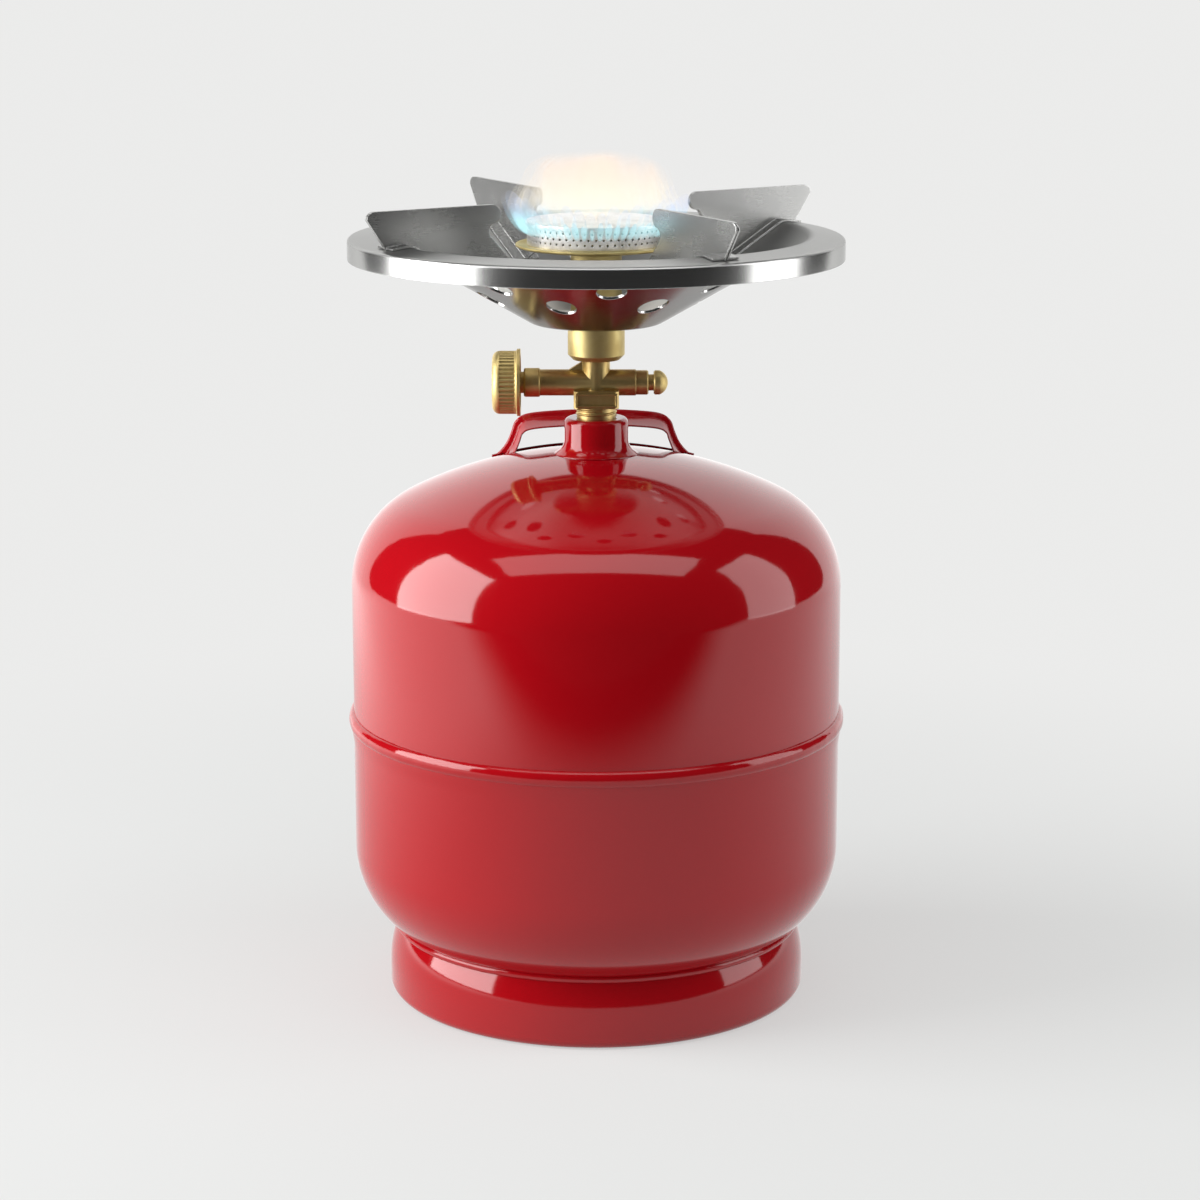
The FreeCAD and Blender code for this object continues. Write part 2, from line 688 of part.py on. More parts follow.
# Screw spindle: stem, seal groove, thread and needle, standing open by its travel
KNOB_END = "(0 - knob_start - knob_length)"
STEM_END = f"({KNOB_END} + screw_recess + screw_gap)"
NEEDLE_SLOPE = "tan(needle_angle)"
NEEDLE_AT_SEAT = "(seat_place - screw_travel)"
NEEDLE_BASE = f"({NEEDLE_AT_SEAT} - (needle_radius - seat_radius + stem_gap) / {NEEDLE_SLOPE})"
NEEDLE_END = f"({NEEDLE_AT_SEAT} + (seat_radius - stem_gap - needle_tip) / {NEEDLE_SLOPE})"
THREAD = "(bore_radius - stem_gap)"
turned("spindle", [
    (STEM_END, "screw_shank + stem_gap"),
    (f"{STEM_END} + screw_length", "screw_shank + stem_gap"),
    (f"{STEM_END} + screw_length", "0"),
    (NEEDLE_END, "0"),
    (NEEDLE_END, "needle_tip"),
    (NEEDLE_BASE, "needle_radius"),
    (f"{NEEDLE_BASE} - needle_length", "needle_radius"),
    (f"{NEEDLE_BASE} - needle_length", THREAD),
    ("ring_wire + stem_gap - ring_place", THREAD),
    ("ring_wire + stem_gap - ring_place", f"{THREAD} - 2 * ring_wire - stem_gap"),
    ("0 - ring_place - ring_wire - stem_gap", f"{THREAD} - 2 * ring_wire - stem_gap"),
    ("0 - ring_place - ring_wire - stem_gap", THREAD),
    ("0 - ring_place - ring_wire - ring_shoulder", THREAD),
    ("0 - ring_place - ring_wire - ring_shoulder", "stem_radius"),
    (STEM_END, "stem_radius"),
], TAP, "H_Axis")
stem_ring = new_body("stem_o_ring", TAP)
O_RING = ("0 - ring_place", f"{THREAD} - ring_wire", "ring_wire")
ring_section = draw_circle(stem_ring, "o_ring_section", "XZ_Plane", *O_RING)
feature(stem_ring, "Revolution", "o_ring", ring_section, ReferenceAxis=(ring_section, ["H_Axis"]))

# Fluted knob with a thin inner flange and a hollow back
FLANGE = "(knob_radius + knob_flange)"
KNOB_FACE = "(0 - knob_start)"
knob = new_body("control_knob", TAP)
turn_round(knob, "knob_blank", [
    (f"{KNOB_END} + screw_recess", "stem_radius + stem_gap"),
    (f"{KNOB_FACE} + hub_reach", "stem_radius + stem_gap"),
    (f"{KNOB_FACE} + hub_reach", "hub_radius"),
    (f"{KNOB_FACE} - knob_recess", "hub_radius"),
    (f"{KNOB_FACE} - knob_recess", "knob_radius - knob_wall - knob_draft"),
    (KNOB_FACE, "knob_radius - knob_wall"),
    (KNOB_FACE, FLANGE),
    (f"{KNOB_FACE} - knob_flange_width", FLANGE),
    (f"{KNOB_FACE} - knob_flange_width - knob_flange", "knob_radius", "knob_flange", -1),
    (f"{KNOB_END} + knob_round", "knob_radius"),
    (KNOB_END, "knob_radius - knob_round", "knob_round", 1),
    (KNOB_END, "screw_head + screw_clearance"),
    (f"{KNOB_END} + screw_recess", "screw_head + screw_clearance"),
], "H_Axis")
FLUTE_END = f"({KNOB_FACE} - knob_flange_width - knob_flange)"
flute = draw(knob, "flute_section", "YZ_Plane", [
    ("0", "knob_radius - flute_depth"),
    ("flute_width", "knob_radius + flute_depth"),
    ("-1 * flute_width", "knob_radius + flute_depth"),
], FLUTE_END)
flute_cut = feature(knob, "Pocket", "flute", flute, Length=f"{FLUTE_END} - {KNOB_END} - knob_round")
around(knob, "flutes", flute_cut, flute, "flute_count")

# Screw that holds the knob on the spindle
SCREW_SEAT = f"({KNOB_END} + screw_recess)"
SCREW_TOP = f"({SCREW_SEAT} - screw_head_height - screw_crown)"
screw = new_body("knob_screw", TAP)
turn_round(screw, "screw_turned", [
    (f"{SCREW_SEAT} + screw_length", "0"),
    (f"{SCREW_SEAT} + screw_length", "screw_shank"),
    (SCREW_SEAT, "screw_shank"),
    (SCREW_SEAT, "screw_head"),
    (f"{SCREW_SEAT} - screw_head_height", "screw_head"),
    (SCREW_TOP, "0", bow("screw_head", "screw_crown"), -1),
], "H_Axis")
slot = draw(screw, "slot_section", "XZ_Plane", [
    (f"{SCREW_TOP} - screw_gap", "-1 * screw_slot / 2"),
    (f"{SCREW_SEAT} - screw_head_height", "-1 * screw_slot / 2"),
    (f"{SCREW_SEAT} - screw_head_height", "screw_slot / 2"),
    (f"{SCREW_TOP} - screw_gap", "screw_slot / 2"),
])
feature(screw, "Pocket", "screw_slot", slot, Type="ThroughAll", Midplane=True)

# Plug that closes the drilled branch
PLUG_FACE = f"({BRANCH_END} + plug_neck_length)"
PLUG_END = f"({PLUG_FACE} + plug_length)"
turned("side_plug", [
    (f"{BRANCH_END} - plug_insert", "0"),
    (PLUG_END, "0"),
    (f"{PLUG_END} - plug_nose", "plug_radius", bow("plug_radius", "plug_nose"), 1),
    (f"{PLUG_FACE} + plug_chamfer", "plug_radius"),
    (PLUG_FACE, "plug_radius - plug_chamfer"),
    (PLUG_FACE, "plug_neck"),
    (BRANCH_END, "plug_neck"),
    (BRANCH_END, "chamber_radius - stem_gap"),
    (f"{BRANCH_END} - plug_insert", "chamber_radius - stem_gap"),
], TAP, "H_Axis")

# Jet on the riser's spigot
turned("jet", [
    ("jet_hole", f"{SPIGOT_TOP} - spigot_height + 0.4"),
    ("jet_thread", f"{SPIGOT_TOP} - spigot_height + 0.4"),
    ("jet_thread", SPIGOT_TOP),
    ("jet_radius", SPIGOT_TOP),
    ("jet_radius", f"{SPIGOT_TOP} + jet_height * 0.6"),
    ("jet_radius * 0.4", f"{SPIGOT_TOP} + jet_height"),
    ("jet_hole", f"{SPIGOT_TOP} + jet_height"),
], TAP)

# Mixing cup with air holes in its floor
CUP_BORE = "(cup_radius - cup_wall)"
cup = turned("mixer_cup", [
    ("riser_spigot + stem_gap", "0"),
    ("cup_radius - cup_chamfer", "0"),
    ("cup_radius", "cup_chamfer"),
    ("cup_radius", "cup_height"),
    (CUP_BORE, "cup_height"),
    (CUP_BORE, "cup_floor"),
    ("riser_spigot + stem_gap", "cup_floor"),
], CUP)
air = draw_circle(cup, "air_drill", "XY_Plane", "air_circle", "0", "air_hole", "cup_floor")
air_cut = feature(cup, "Pocket", "air_hole", air, Length="cup_floor")
around(cup, "air_holes", air_cut, air, "air_count")

# Dish: one sheet from the floor up a cone, over the crest, down the lip and round the rim
CREST = "(dish_radius - crest_inset)"
CREST_Z = "(dish_depth - crest_round)"
BEND_Z = "(sheet + floor_round)"
CONE_RUN = f"({CREST} - floor_radius)"
CONE_RISE = f"({CREST_Z} - {BEND_Z})"
CONE_SPAN = f"sqrt({CONE_RUN}^2 + {CONE_RISE}^2)"
SLOPE = f"(atan({CONE_RISE} / {CONE_RUN}) + asin((floor_round + crest_round) / {CONE_SPAN}))"
SLOPE_SIN = f"sin({SLOPE})"
SLOPE_COS = f"cos({SLOPE})"
FALL_SIN = "sin(lip_fall)"
FALL_COS = "cos(lip_fall)"
RIM = "(dish_radius - rim_round)"
FALL_Z = f"({CREST_Z} + crest_round * {FALL_COS})"
FALL_RUN = f"({RIM} + rim_round * {FALL_SIN} - {CREST} - crest_round * {FALL_SIN})"
RIM_Z = f"({FALL_Z} - tan(lip_fall) * {FALL_RUN} - rim_round * {FALL_COS})"
RIM_FOOT = "(dish_depth - rim_drop)"


def crest_points(round_off):
    """Where the crest arc starts on the cone and ends on the lip, offset from the top surface."""
    radius = f"(crest_round + {round_off})"
    start = (f"{CREST} - {radius} * {SLOPE_SIN}", f"{CREST_Z} + {radius} * {SLOPE_COS}")
    finish = (f"{CREST} + {radius} * {FALL_SIN}", f"{CREST_Z} + {radius} * {FALL_COS}")
    return radius, start, finish


def lip_height(radius, offset):
    """Height of the lip's top surface at a radius, raised by an offset square to it."""
    start = crest_points(offset)[2]
    return f"({start[1]} - tan(lip_fall) * ({radius} - ({start[0]})))"


def wall_height(radius, offset):
    """Height of the cone's inner surface at a radius, raised by an offset square to it."""
    start = crest_points(offset)[1]
    return f"({start[1]} - tan({SLOPE}) * (({start[0]}) - {radius}))"


under, under_start, under_end = crest_points("-1 * sheet")
over, over_start, over_end = crest_points("0")
dish = turned("dish", [
    ("dish_hole", "0"),
    ("floor_radius", "0"),
    (f"floor_radius + {BEND_Z} * {SLOPE_SIN}", f"{BEND_Z} - {BEND_Z} * {SLOPE_COS}", BEND_Z, 1),
    under_start,
    (*under_end, under, -1),
    (f"{RIM} + (rim_round - sheet) * {FALL_SIN}", f"{RIM_Z} + (rim_round - sheet) * {FALL_COS}"),
    ("dish_radius - sheet", RIM_Z, "rim_round - sheet", -1),
    ("dish_radius - sheet", RIM_FOOT),
    ("dish_radius", RIM_FOOT),
    ("dish_radius", RIM_Z),
    (f"{RIM} + rim_round * {FALL_SIN}", f"{RIM_Z} + rim_round * {FALL_COS}", "rim_round", 1),
    over_end,
    (*over_start, over, 1),
    (f"floor_radius + floor_round * {SLOPE_SIN}", f"{BEND_Z} - floor_round * {SLOPE_COS}"),
    ("floor_radius", "sheet", "floor_round", -1),
    ("dish_hole", "sheet"),
], DISH)
for row in ("low", "high"):
    spot = (f"vent_{row} * cos(vent_{row}_turn)", f"vent_{row} * sin(vent_{row}_turn)")
    vent = draw_circle(dish, f"vent_{row}_section", "XY_Plane", *spot, "vent_radius")
    vent_cut = feature(dish, "Pocket", f"vent_{row}", vent, Length="dish_depth", Reversed=True)
    around(dish, f"vents_{row}", vent_cut, vent, "vent_count")

# Washer and mixing tube that clamp the dish to the cup
turned("dish_washer", [
    ("mixer_spigot", "sheet"),
    ("washer_radius", "sheet"),
    ("washer_radius", "sheet + washer_thickness"),
    ("mixer_spigot", "sheet + washer_thickness"),
], DISH)
TUBE_FOOT = "(sheet + washer_thickness)"
TUBE_TOP = f"({TUBE_FOOT} + mixer_length)"
turned("mixer_tube", [
    ("mixer_bore", "-1 * mixer_insert"),
    ("mixer_spigot - seat_gap", "-1 * mixer_insert"),
    ("mixer_spigot - seat_gap", TUBE_FOOT),
    ("mixer_radius", TUBE_FOOT),
    ("mixer_radius", TUBE_TOP),
    ("pan_bore - seat_gap", TUBE_TOP),
    ("pan_bore - seat_gap", f"{TUBE_TOP} + mixer_collar"),
    ("mixer_bore", f"{TUBE_TOP} + mixer_collar"),
], DISH)

# Burner head: pan, flame ring and crimped cap
PAN_RADIUS = "(ring_radius + pan_margin)"
turned("burner_pan", [
    ("pan_bore", "0"),
    ("mixer_radius + pan_hub", "0"),
    (f"{PAN_RADIUS} - pan_lip", "pan_height - pan_edge"),
    (PAN_RADIUS, "pan_height - pan_edge + pan_lip / 2"),
    (PAN_RADIUS, "pan_height - pan_round"),
    (f"{PAN_RADIUS} - pan_round", "pan_height", "pan_round", 1),
    ("ring_radius - ring_sheet - cap_clearance", "pan_height"),
    ("ring_radius - pan_seat", "pan_height - pan_lip"),
    ("mixer_radius + pan_hub", "pan_floor"),
    ("pan_bore", "pan_floor"),
], PAN)
turned("flame_ring", [
    ("ring_radius - ring_sheet", "0"),
    ("ring_radius", "0"),
    ("ring_radius", "ring_height"),
    ("ring_radius - ring_sheet", "ring_height"),
], RING)
CAP_EDGE = "(ring_radius + cap_overlap)"
CAP_SEAT = "(ring_radius - ring_sheet - cap_clearance)"

turned("burner_cap", [
    ("0", "cap_dome"),
    (CAP_SEAT, "0", bow(CAP_SEAT, "cap_dome"), -1),
    ("ring_radius", "0"),
    ("ring_radius", "0 - cap_lip"),
    (CAP_EDGE, "0 - cap_lip"),
    (CAP_EDGE, "cap_sheet - cap_round"),
    (f"{CAP_EDGE} - cap_round", "cap_sheet", "cap_round", 1),
    ("0", "cap_dome + cap_sheet", bow(f"{CAP_EDGE} - cap_round", "cap_dome"), 1),
], CAP)

# Pot supports: folded sheet on edge, with feet turned out on the lip and wall
FIN_TOP = "(dish_depth + fin_rise)"
FIN_REACH = "(dish_radius + fin_overhang)"
FIN_BASE = "(dish_radius - fin_inset)"
LOBE = "(fin_tip + fin_lobe)"
HEEL_Z = wall_height("fin_heel", "0")
low, low_start, low_end = crest_points("fin_foot_gap")
high, high_start, high_end = crest_points("(fin_foot_gap + fin_foot_sheet)")
for place, quarter in enumerate(("right", "rear", "left", "front")):
    label = "pot_support_" + quarter
    fin = new_body(label, DISH, f"fin_turn + {90 * place}")
    plate = draw(fin, label + "_plate", "XZ_Plane", [
        ("fin_toe", "dish_depth - fin_toe_drop"),
        ("fin_heel", HEEL_Z),
        over_start,
        (*over_end, over, -1),
        (FIN_BASE, lip_height(FIN_BASE, "0")),
        (FIN_REACH, f"{FIN_TOP} - fin_corner"),
        (f"{FIN_REACH} - fin_corner", FIN_TOP, "fin_corner", 1),
        (LOBE, FIN_TOP),
        ("fin_tip", f"{FIN_TOP} - fin_lobe", "fin_lobe", 1),
        (LOBE, f"{FIN_TOP} - 2 * fin_lobe", "fin_lobe", 1),
        ("fin_notch", f"{FIN_TOP} - fin_notch_drop", "fin_notch_round", -1),
    ])
    feature(fin, "Pad", label + "_leaf", plate, Length="fin_thickness", Midplane=True)
    feet = draw(fin, label + "_foot_section", "XZ_Plane", [
        ("fin_heel", wall_height("fin_heel", "fin_foot_gap")),
        low_start,
        (*low_end, low, -1),
        (FIN_BASE, lip_height(FIN_BASE, "fin_foot_gap")),
        (FIN_BASE, lip_height(FIN_BASE, "(fin_foot_gap + fin_foot_sheet)")),
        high_end,
        (*high_start, high, 1),
        ("fin_heel", wall_height("fin_heel", "(fin_foot_gap + fin_foot_sheet)")),
    ])
    feature(fin, "Pad", label + "_feet", feet, Length="fin_foot", Midplane=True)
    split = draw(fin, label + "_split", "XZ_Plane", [
        ("fin_toe - fin_spare", "0"),
        (f"{FIN_REACH} + fin_spare", "0"),
        (f"{FIN_REACH} + fin_spare", f"{FIN_TOP} - fin_fold"),
        ("fin_toe - fin_spare", f"{FIN_TOP} - fin_fold"),
    ])
    feature(fin, "Pocket", label + "_fold", split, Length="fin_gap", Midplane=True)

doc.recompute()

# Every feature and solid is sound before the pieces are written
bodies = [item for item in doc.Objects if item.TypeId == "PartDesign::Body"]
for item in doc.Objects:
    if "Invalid" in item.State or "Error" in item.State:
        raise RuntimeError(item.Label + " did not build")
for body in bodies:
    if body.Shape.isNull() or not body.Shape.isValid() or len(body.Shape.Solids) != 1:
        raise RuntimeError(body.Label + " is not one sound solid")

os.makedirs("parts", exist_ok=True)
for body in bodies:
    body.Shape.exportStep(f"parts/{body.Label}.step")
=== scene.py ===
"""Looks of a portable gas stove: red bottle, brass tap, polished dish burner and its flame."""
import json
import math

import bmesh
import bpy
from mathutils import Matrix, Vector


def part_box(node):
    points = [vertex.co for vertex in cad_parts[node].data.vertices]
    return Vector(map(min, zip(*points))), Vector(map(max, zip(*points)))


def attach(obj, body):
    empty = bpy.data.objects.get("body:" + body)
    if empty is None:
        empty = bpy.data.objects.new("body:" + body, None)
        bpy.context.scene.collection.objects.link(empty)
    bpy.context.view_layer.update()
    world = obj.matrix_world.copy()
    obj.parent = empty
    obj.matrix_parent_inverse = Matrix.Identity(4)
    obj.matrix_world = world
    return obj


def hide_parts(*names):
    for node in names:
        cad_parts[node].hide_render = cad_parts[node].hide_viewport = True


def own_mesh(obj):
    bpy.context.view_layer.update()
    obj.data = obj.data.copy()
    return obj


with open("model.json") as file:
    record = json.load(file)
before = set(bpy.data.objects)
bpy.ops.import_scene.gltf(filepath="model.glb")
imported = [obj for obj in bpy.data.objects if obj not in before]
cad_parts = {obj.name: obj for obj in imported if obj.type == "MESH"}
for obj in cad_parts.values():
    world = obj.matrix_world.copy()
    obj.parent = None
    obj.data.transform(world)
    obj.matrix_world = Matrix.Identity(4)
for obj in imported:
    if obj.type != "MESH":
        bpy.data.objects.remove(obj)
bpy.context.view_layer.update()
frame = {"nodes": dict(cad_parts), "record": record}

MM = 0.001
QUARTER = math.pi / 2
BODY_OF = {
    node: body
    for body, nodes in frame["record"]["behaviour"]["bodies"].items()
    for node in nodes
}

# Places taken from the frame
RING_LOW, RING_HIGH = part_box("flame_ring")
NECK_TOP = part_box("neck_boss")[1].z
DISH_LOW, DISH_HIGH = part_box("dish")
SEAM_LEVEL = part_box("lower_shell")[1].z
BOTTLE_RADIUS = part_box("upper_shell")[1].x

# Meshes: angle in degrees above which an edge is crisp
SHARP = 35.0

# Distance in metres within which corners count as one, and radius below which a point is on the axis
ONE_CORNER = 2e-6
ON_AXIS = 1e-9

# Camera at the photograph's angle
CAMERA_PLACE = (0.0015, -1.31608, 0.46674)
CAMERA_TILT = 77.017
CAMERA_LENS = 98.69
CAMERA_NEAR = 0.05
SENSOR = 36.0

# Colours: pairs that a finish varies between, then single ones
ENAMEL = ((0.335, 0.0018, 0.005, 1), (0.375, 0.0028, 0.007, 1))
TAP_BRASS = ((0.70, 0.56, 0.25, 1), (0.58, 0.44, 0.175, 1))
HEAD_BRASS = ((0.56, 0.455, 0.205, 1), (0.48, 0.37, 0.15, 1))
CAST_BRASS = ((0.60, 0.45, 0.19, 1), (0.50, 0.36, 0.14, 1))
DISH_STEEL = ((0.56, 0.56, 0.55, 1), (0.50, 0.44, 0.36, 1))
FIN_STEEL = ((0.52, 0.52, 0.51, 1), (0.60, 0.60, 0.59, 1))
SCREW_STEEL = ((0.55, 0.55, 0.54, 1), (0.68, 0.68, 0.67, 1))
HEAD_SHEET = ((0.80, 0.79, 0.77, 1), (0.62, 0.60, 0.58, 1))
RUBBER = ((0.018, 0.018, 0.018, 1), (0.035, 0.035, 0.034, 1))
PAPER = (0.655, 0.675, 0.668, 1)
BACKDROP = (0.835, 0.835, 0.828, 1)
DARK_ROOM = (0.03, 0.03, 0.03, 1)
BLACK = (0.0, 0.0, 0.0, 1)

# Flame colours: at the ports, above them and at the tip
CREAM = ((0.92, 0.95, 1.0, 1), (1.0, 0.94, 0.78, 1), (1.0, 0.82, 0.68, 1))
AZURE = ((0.55, 0.94, 1.0, 1), (0.62, 0.72, 1.0, 1), (0.97, 0.80, 0.80, 1))

# Sockets of the Mix node when it blends colours
MIX_SHARE, MIX_FIRST, MIX_SECOND, MIX_RESULT = 0, 6, 7, 2

# Flame ports: three staggered rows round the ring
PORTS_PER_ROW = 58
PORT_RADIUS = 0.45 * MM
PORT_SIDES = 8
PORT_ROWS = (2.1 * MM, 4.1 * MM, 6.5 * MM)
RING_SHEET = 0.8 * MM

# Inlet thread that shows between the neck and the tap's block
THREAD_ROOT = 7.65 * MM
THREAD_CREST = 8.3 * MM
THREAD_FLAT = 0.12 * MM
THREAD_RISE = 4.5 * MM
THREAD_PITCH = 1.6 * MM
THREAD_FOOT_SHARE = 0.46
THREAD_STEPS = 72

# Dish: one sheet from the floor up a cone, over the crest and round the rim
DISH_SHEET = 1.0 * MM
DISH_HOLE = 9.0 * MM
DISH_FLOOR = 23.086 * MM
DISH_SLOPE = math.radians(30.0)
FLOOR_ROUND = 8.0 * MM
CREST_INSET = 11.8 * MM
CREST_ROUND = 7.0 * MM
LIP_FALL = math.radians(7.0)
RIM_ROUND = 1.6 * MM
RIM_DROP = 9.4 * MM
DISH_STEPS = 256

# Vents in the dish: for each row its distance from the axis and its turn in degrees
VENTS = 8
VENT_RADIUS = 6.0 * MM
VENT_SIDES = 40
VENT_ROWS = ((46.9 * MM, 28.2), (60.5 * MM, 5.7))

# Girth weld: a low rounded bead over the seam between the bottle's halves
BEAD_DROP = 1.7 * MM
BEAD_HALF = 3.3 * MM
BEAD_RISE = 2.0 * MM
BEAD_SINK = 1.0 * MM
BEAD_ARC = 12
BEAD_STEPS = 360
WELD_UNEVEN = 0.0004

# Foot ring: straight wall, then a shoulder that leans in under the bottle, with a weld above it
FOOT_RADIUS = 86.2 * MM
FOOT_WALL = 2.5 * MM
FOOT_EDGE = 3.5 * MM
FOOT_FLANGE = 5.0 * MM
FOOT_STRAIGHT = 11.0 * MM
FOOT_SHOULDER = 42.0 * MM
FOOT_LEAN = math.radians(24.6)
FOOT_STEPS = 256
FOOT_WELD = (82.7 * MM, 28.5 * MM)
FOOT_WELD_RADIUS = 1.6 * MM
FOOT_WELD_SIDES = 12

# Carrying handle: half of its outer line in mm, from the bar's middle to a foot
HANDLE_HALF = (
    (0.0, 235.6), (15.0, 235.2), (27.5, 233.9), (32.4, 230.9),
    (34.2, 226.5), (36.0, 222.2), (38.6, 218.6), (42.4, 215.2),
)
HANDLE_TURN = math.radians(2.0)
HANDLE_STEPS = 10
HANDLE_SINK = 0.5 * MM

# Section of the handle in mm: depth behind the bottle's axis, and distance in from the outer line
HANDLE_SECTION = (
    (41.4, 0.0), (42.4, 0.0), (42.9, 0.5), (42.9, 3.3), (42.4, 3.8), (21.6, 3.6),
    (21.2, 3.4), (21.2, 3.1), (21.6, 2.9), (40.6, 2.6), (40.9, 2.3), (40.9, 0.5),
)

# Section of the handle's base strip in mm: depth behind the axis, and height over the crown
STRIP_SECTION = ((40.9, -0.5), (40.9, 0.5), (41.3, 0.9), (42.5, 0.9), (42.9, 0.5), (42.9, -0.5))
STRIP_PLACES = 48

# Crown of the bottle, as part of a ball
CROWN_RADIUS = 175.0 * MM
CROWN_CENTRE = 51.02 * MM

# Raised border on the tap's block
BLOCK_FRONT = -7.75 * MM
BLOCK_FOOT = 243.93 * MM
BLOCK_WIDTH = 18.2 * MM
BLOCK_HEIGHT = 7.0 * MM
BORDER_INSET = 0.6 * MM
BORDER_WIDTH = 1.0 * MM
BORDER_RISE = 0.7 * MM
BORDER_SLOPE = 0.15 * MM
BORDER_SINK = 0.1 * MM

# Flame: nested skins, as tall as the object's box leaves room for
FLAME_TOP = 347.4 * MM
FLAME_FOOT = 0.9 * MM
FLAME_WAIST = 39.0 * MM
FLAME_NARROWING = 0.85
FLAME_STEP_DOWN = 0.2 * MM
FLAME_SWELL = 0.26
FLAME_SWELL_SHARE = 0.35
FLAME_TAPER = 0.3
FLAME_TAPER_POWER = 1.4
FLAME_CAP_POWER = 12
FLAME_SWAY = 0.06
FLAME_LOBES = 5
FLAME_SKINS = 12
FLAME_STEPS = 96
FLAME_RINGS = 40
FLAME_CONE = 9.0
FLAME_LICKS = 1.5
FLAME_STRENGTH = 1.12

# Small flames at the ports: thin tongues, and wider puffs round them
TONGUES = 58
TONGUE_RADIUS = 1.3 * MM
TONGUE_LENGTH = 10.0 * MM
TONGUE_LEAN = 1.3
TONGUE_SIDES = 12
PUFFS = 46
PUFF_RADIUS = 3.6 * MM
PUFF_LENGTH = 20.0 * MM
PUFF_LEAN = 1.7

# Floor and backdrop in metres
SWEEP_FRONT = -0.75
SWEEP_BACK = 1.5
SWEEP_SIDE = 1.7
SWEEP_TOP = 2.2
SWEEP_BEND = 0.3
SWEEP_ARC = 12

# How bright floor and backdrop are in mirrors
FLOOR_LEVEL = 0.83
LEFT_GLARE = 1.1
RIGHT_GLARE = 0.35
WALL_LEVEL = 1.35
FULL_GLARE = 2.5
FULL_GLARE_COLOUR = (2.5, 2.5, 2.48, 1)

# Share of the true shadows that the camera sees on the floor close to the object
SHADOW_SHARE = 0.4


class Signal:
    """One value that runs through a material; arithmetic on it adds Math nodes."""

    def __init__(self, socket):
        self.socket = socket

    def node(self, kind, settings, inputs, output=0):
        """Any other node of the same material: its settings, then values or signals for its sockets."""
        made = self.socket.id_data.nodes.new("ShaderNode" + kind)
        for name, setting in settings.items():
            setattr(made, name, setting)
        feed(made, inputs)
        return Signal(made.outputs[output])

    def math(self, operation, first, second):
        return self.node("Math", {"operation": operation}, {0: first, 1: second})

    def __add__(self, other):
        return self.math("ADD", self, other)

    def __radd__(self, other):
        return self.math("ADD", other, self)

    def __sub__(self, other):
        return self.math("SUBTRACT", self, other)

    def __rsub__(self, other):
        return self.math("SUBTRACT", other, self)

    def __mul__(self, other):
        return self.math("MULTIPLY", self, other)

    def __rmul__(self, other):
        return self.math("MULTIPLY", other, self)

    def __truediv__(self, other):
        return self.math("DIVIDE", self, other)

    def __rtruediv__(self, other):
        return self.math("DIVIDE", other, self)


def feed(node, inputs):
    """Set sockets of a node to plain values, or link signals to them."""
    for name, given in inputs.items():
        if isinstance(given, Signal):
            node.id_data.links.new(given.socket, node.inputs[name])
        else:
            node.inputs[name].default_value = given


def new_finish(name):
    """A material with its surface node and a signal of the place on the object, in metres."""
    material = bpy.data.materials.new(name)
    material.use_nodes = True
    tree = material.node_tree
    place = tree.nodes.new("ShaderNodeTexCoord")
    return material, tree.nodes["Principled BSDF"], Signal(place.outputs["Object"])


def cloud(place, scale, detail=2.0):
    """Soft random tone over the object, from 0 to 1."""
    return place.node("TexNoise", {}, {"Vector": place, "Scale": scale, "Detail": detail}, "Fac")


def lines(along, scale):
    """Random tone that changes along one distance only, as tool marks do."""
    return along.node("TexNoise", {"noise_dimensions": "1D"}, {"W": along, "Scale": scale}, "Fac")


def stretched(place, amounts):
    return place.node("VectorMath", {"operation": "MULTIPLY"}, {0: place, 1: amounts})


def across(place, axis):
    return place.node("SeparateXYZ", {}, {0: place}, axis)


def off_axis(place):
    """Distance from the bottle's upright axis."""
    flat = stretched(place, (1.0, 1.0, 0.0))
    return place.node("VectorMath", {"operation": "LENGTH"}, {0: flat}, "Value")


def ease(signal, start, finish):
    """0 up to start, 1 past finish, smooth between."""
    span = {"Value": signal, "From Min": start, "From Max": finish}
    return signal.node("MapRange", {"interpolation_type": "SMOOTHSTEP"}, span, "Result")


def blend_colour(share, first, second):
    shades = {MIX_SHARE: share, MIX_FIRST: first, MIX_SECOND: second}
    return share.node("Mix", {"data_type": "RGBA"}, shades, MIX_RESULT)


def relief(height, depth, strength, edge):
    """Surface normal of a fine relief, over edges that are softened by a small round."""
    softened = height.node("Bevel", {"samples": 6}, {"Radius": edge}, "Normal")
    inputs = {"Height": height, "Distance": depth, "Strength": strength, "Normal": softened}
    return height.node("Bump", {}, inputs, "Normal")


def red_enamel():
    """Sprayed glossy enamel with a faint ripple."""
    material, surface, place = new_finish("red_enamel")
    peel = cloud(place, scale=620.0, detail=1.0)
    sag = cloud(place, scale=45.0, detail=1.0)
    feed(surface, {
        "Base Color": blend_colour(cloud(place, scale=9.0), *ENAMEL),
        "Roughness": 0.06 + cloud(place, scale=130.0) * 0.03,
        "Normal": relief(peel * 0.12 + sag, depth=0.4 * MM, strength=0.035, edge=0.9 * MM),
    })
    return material


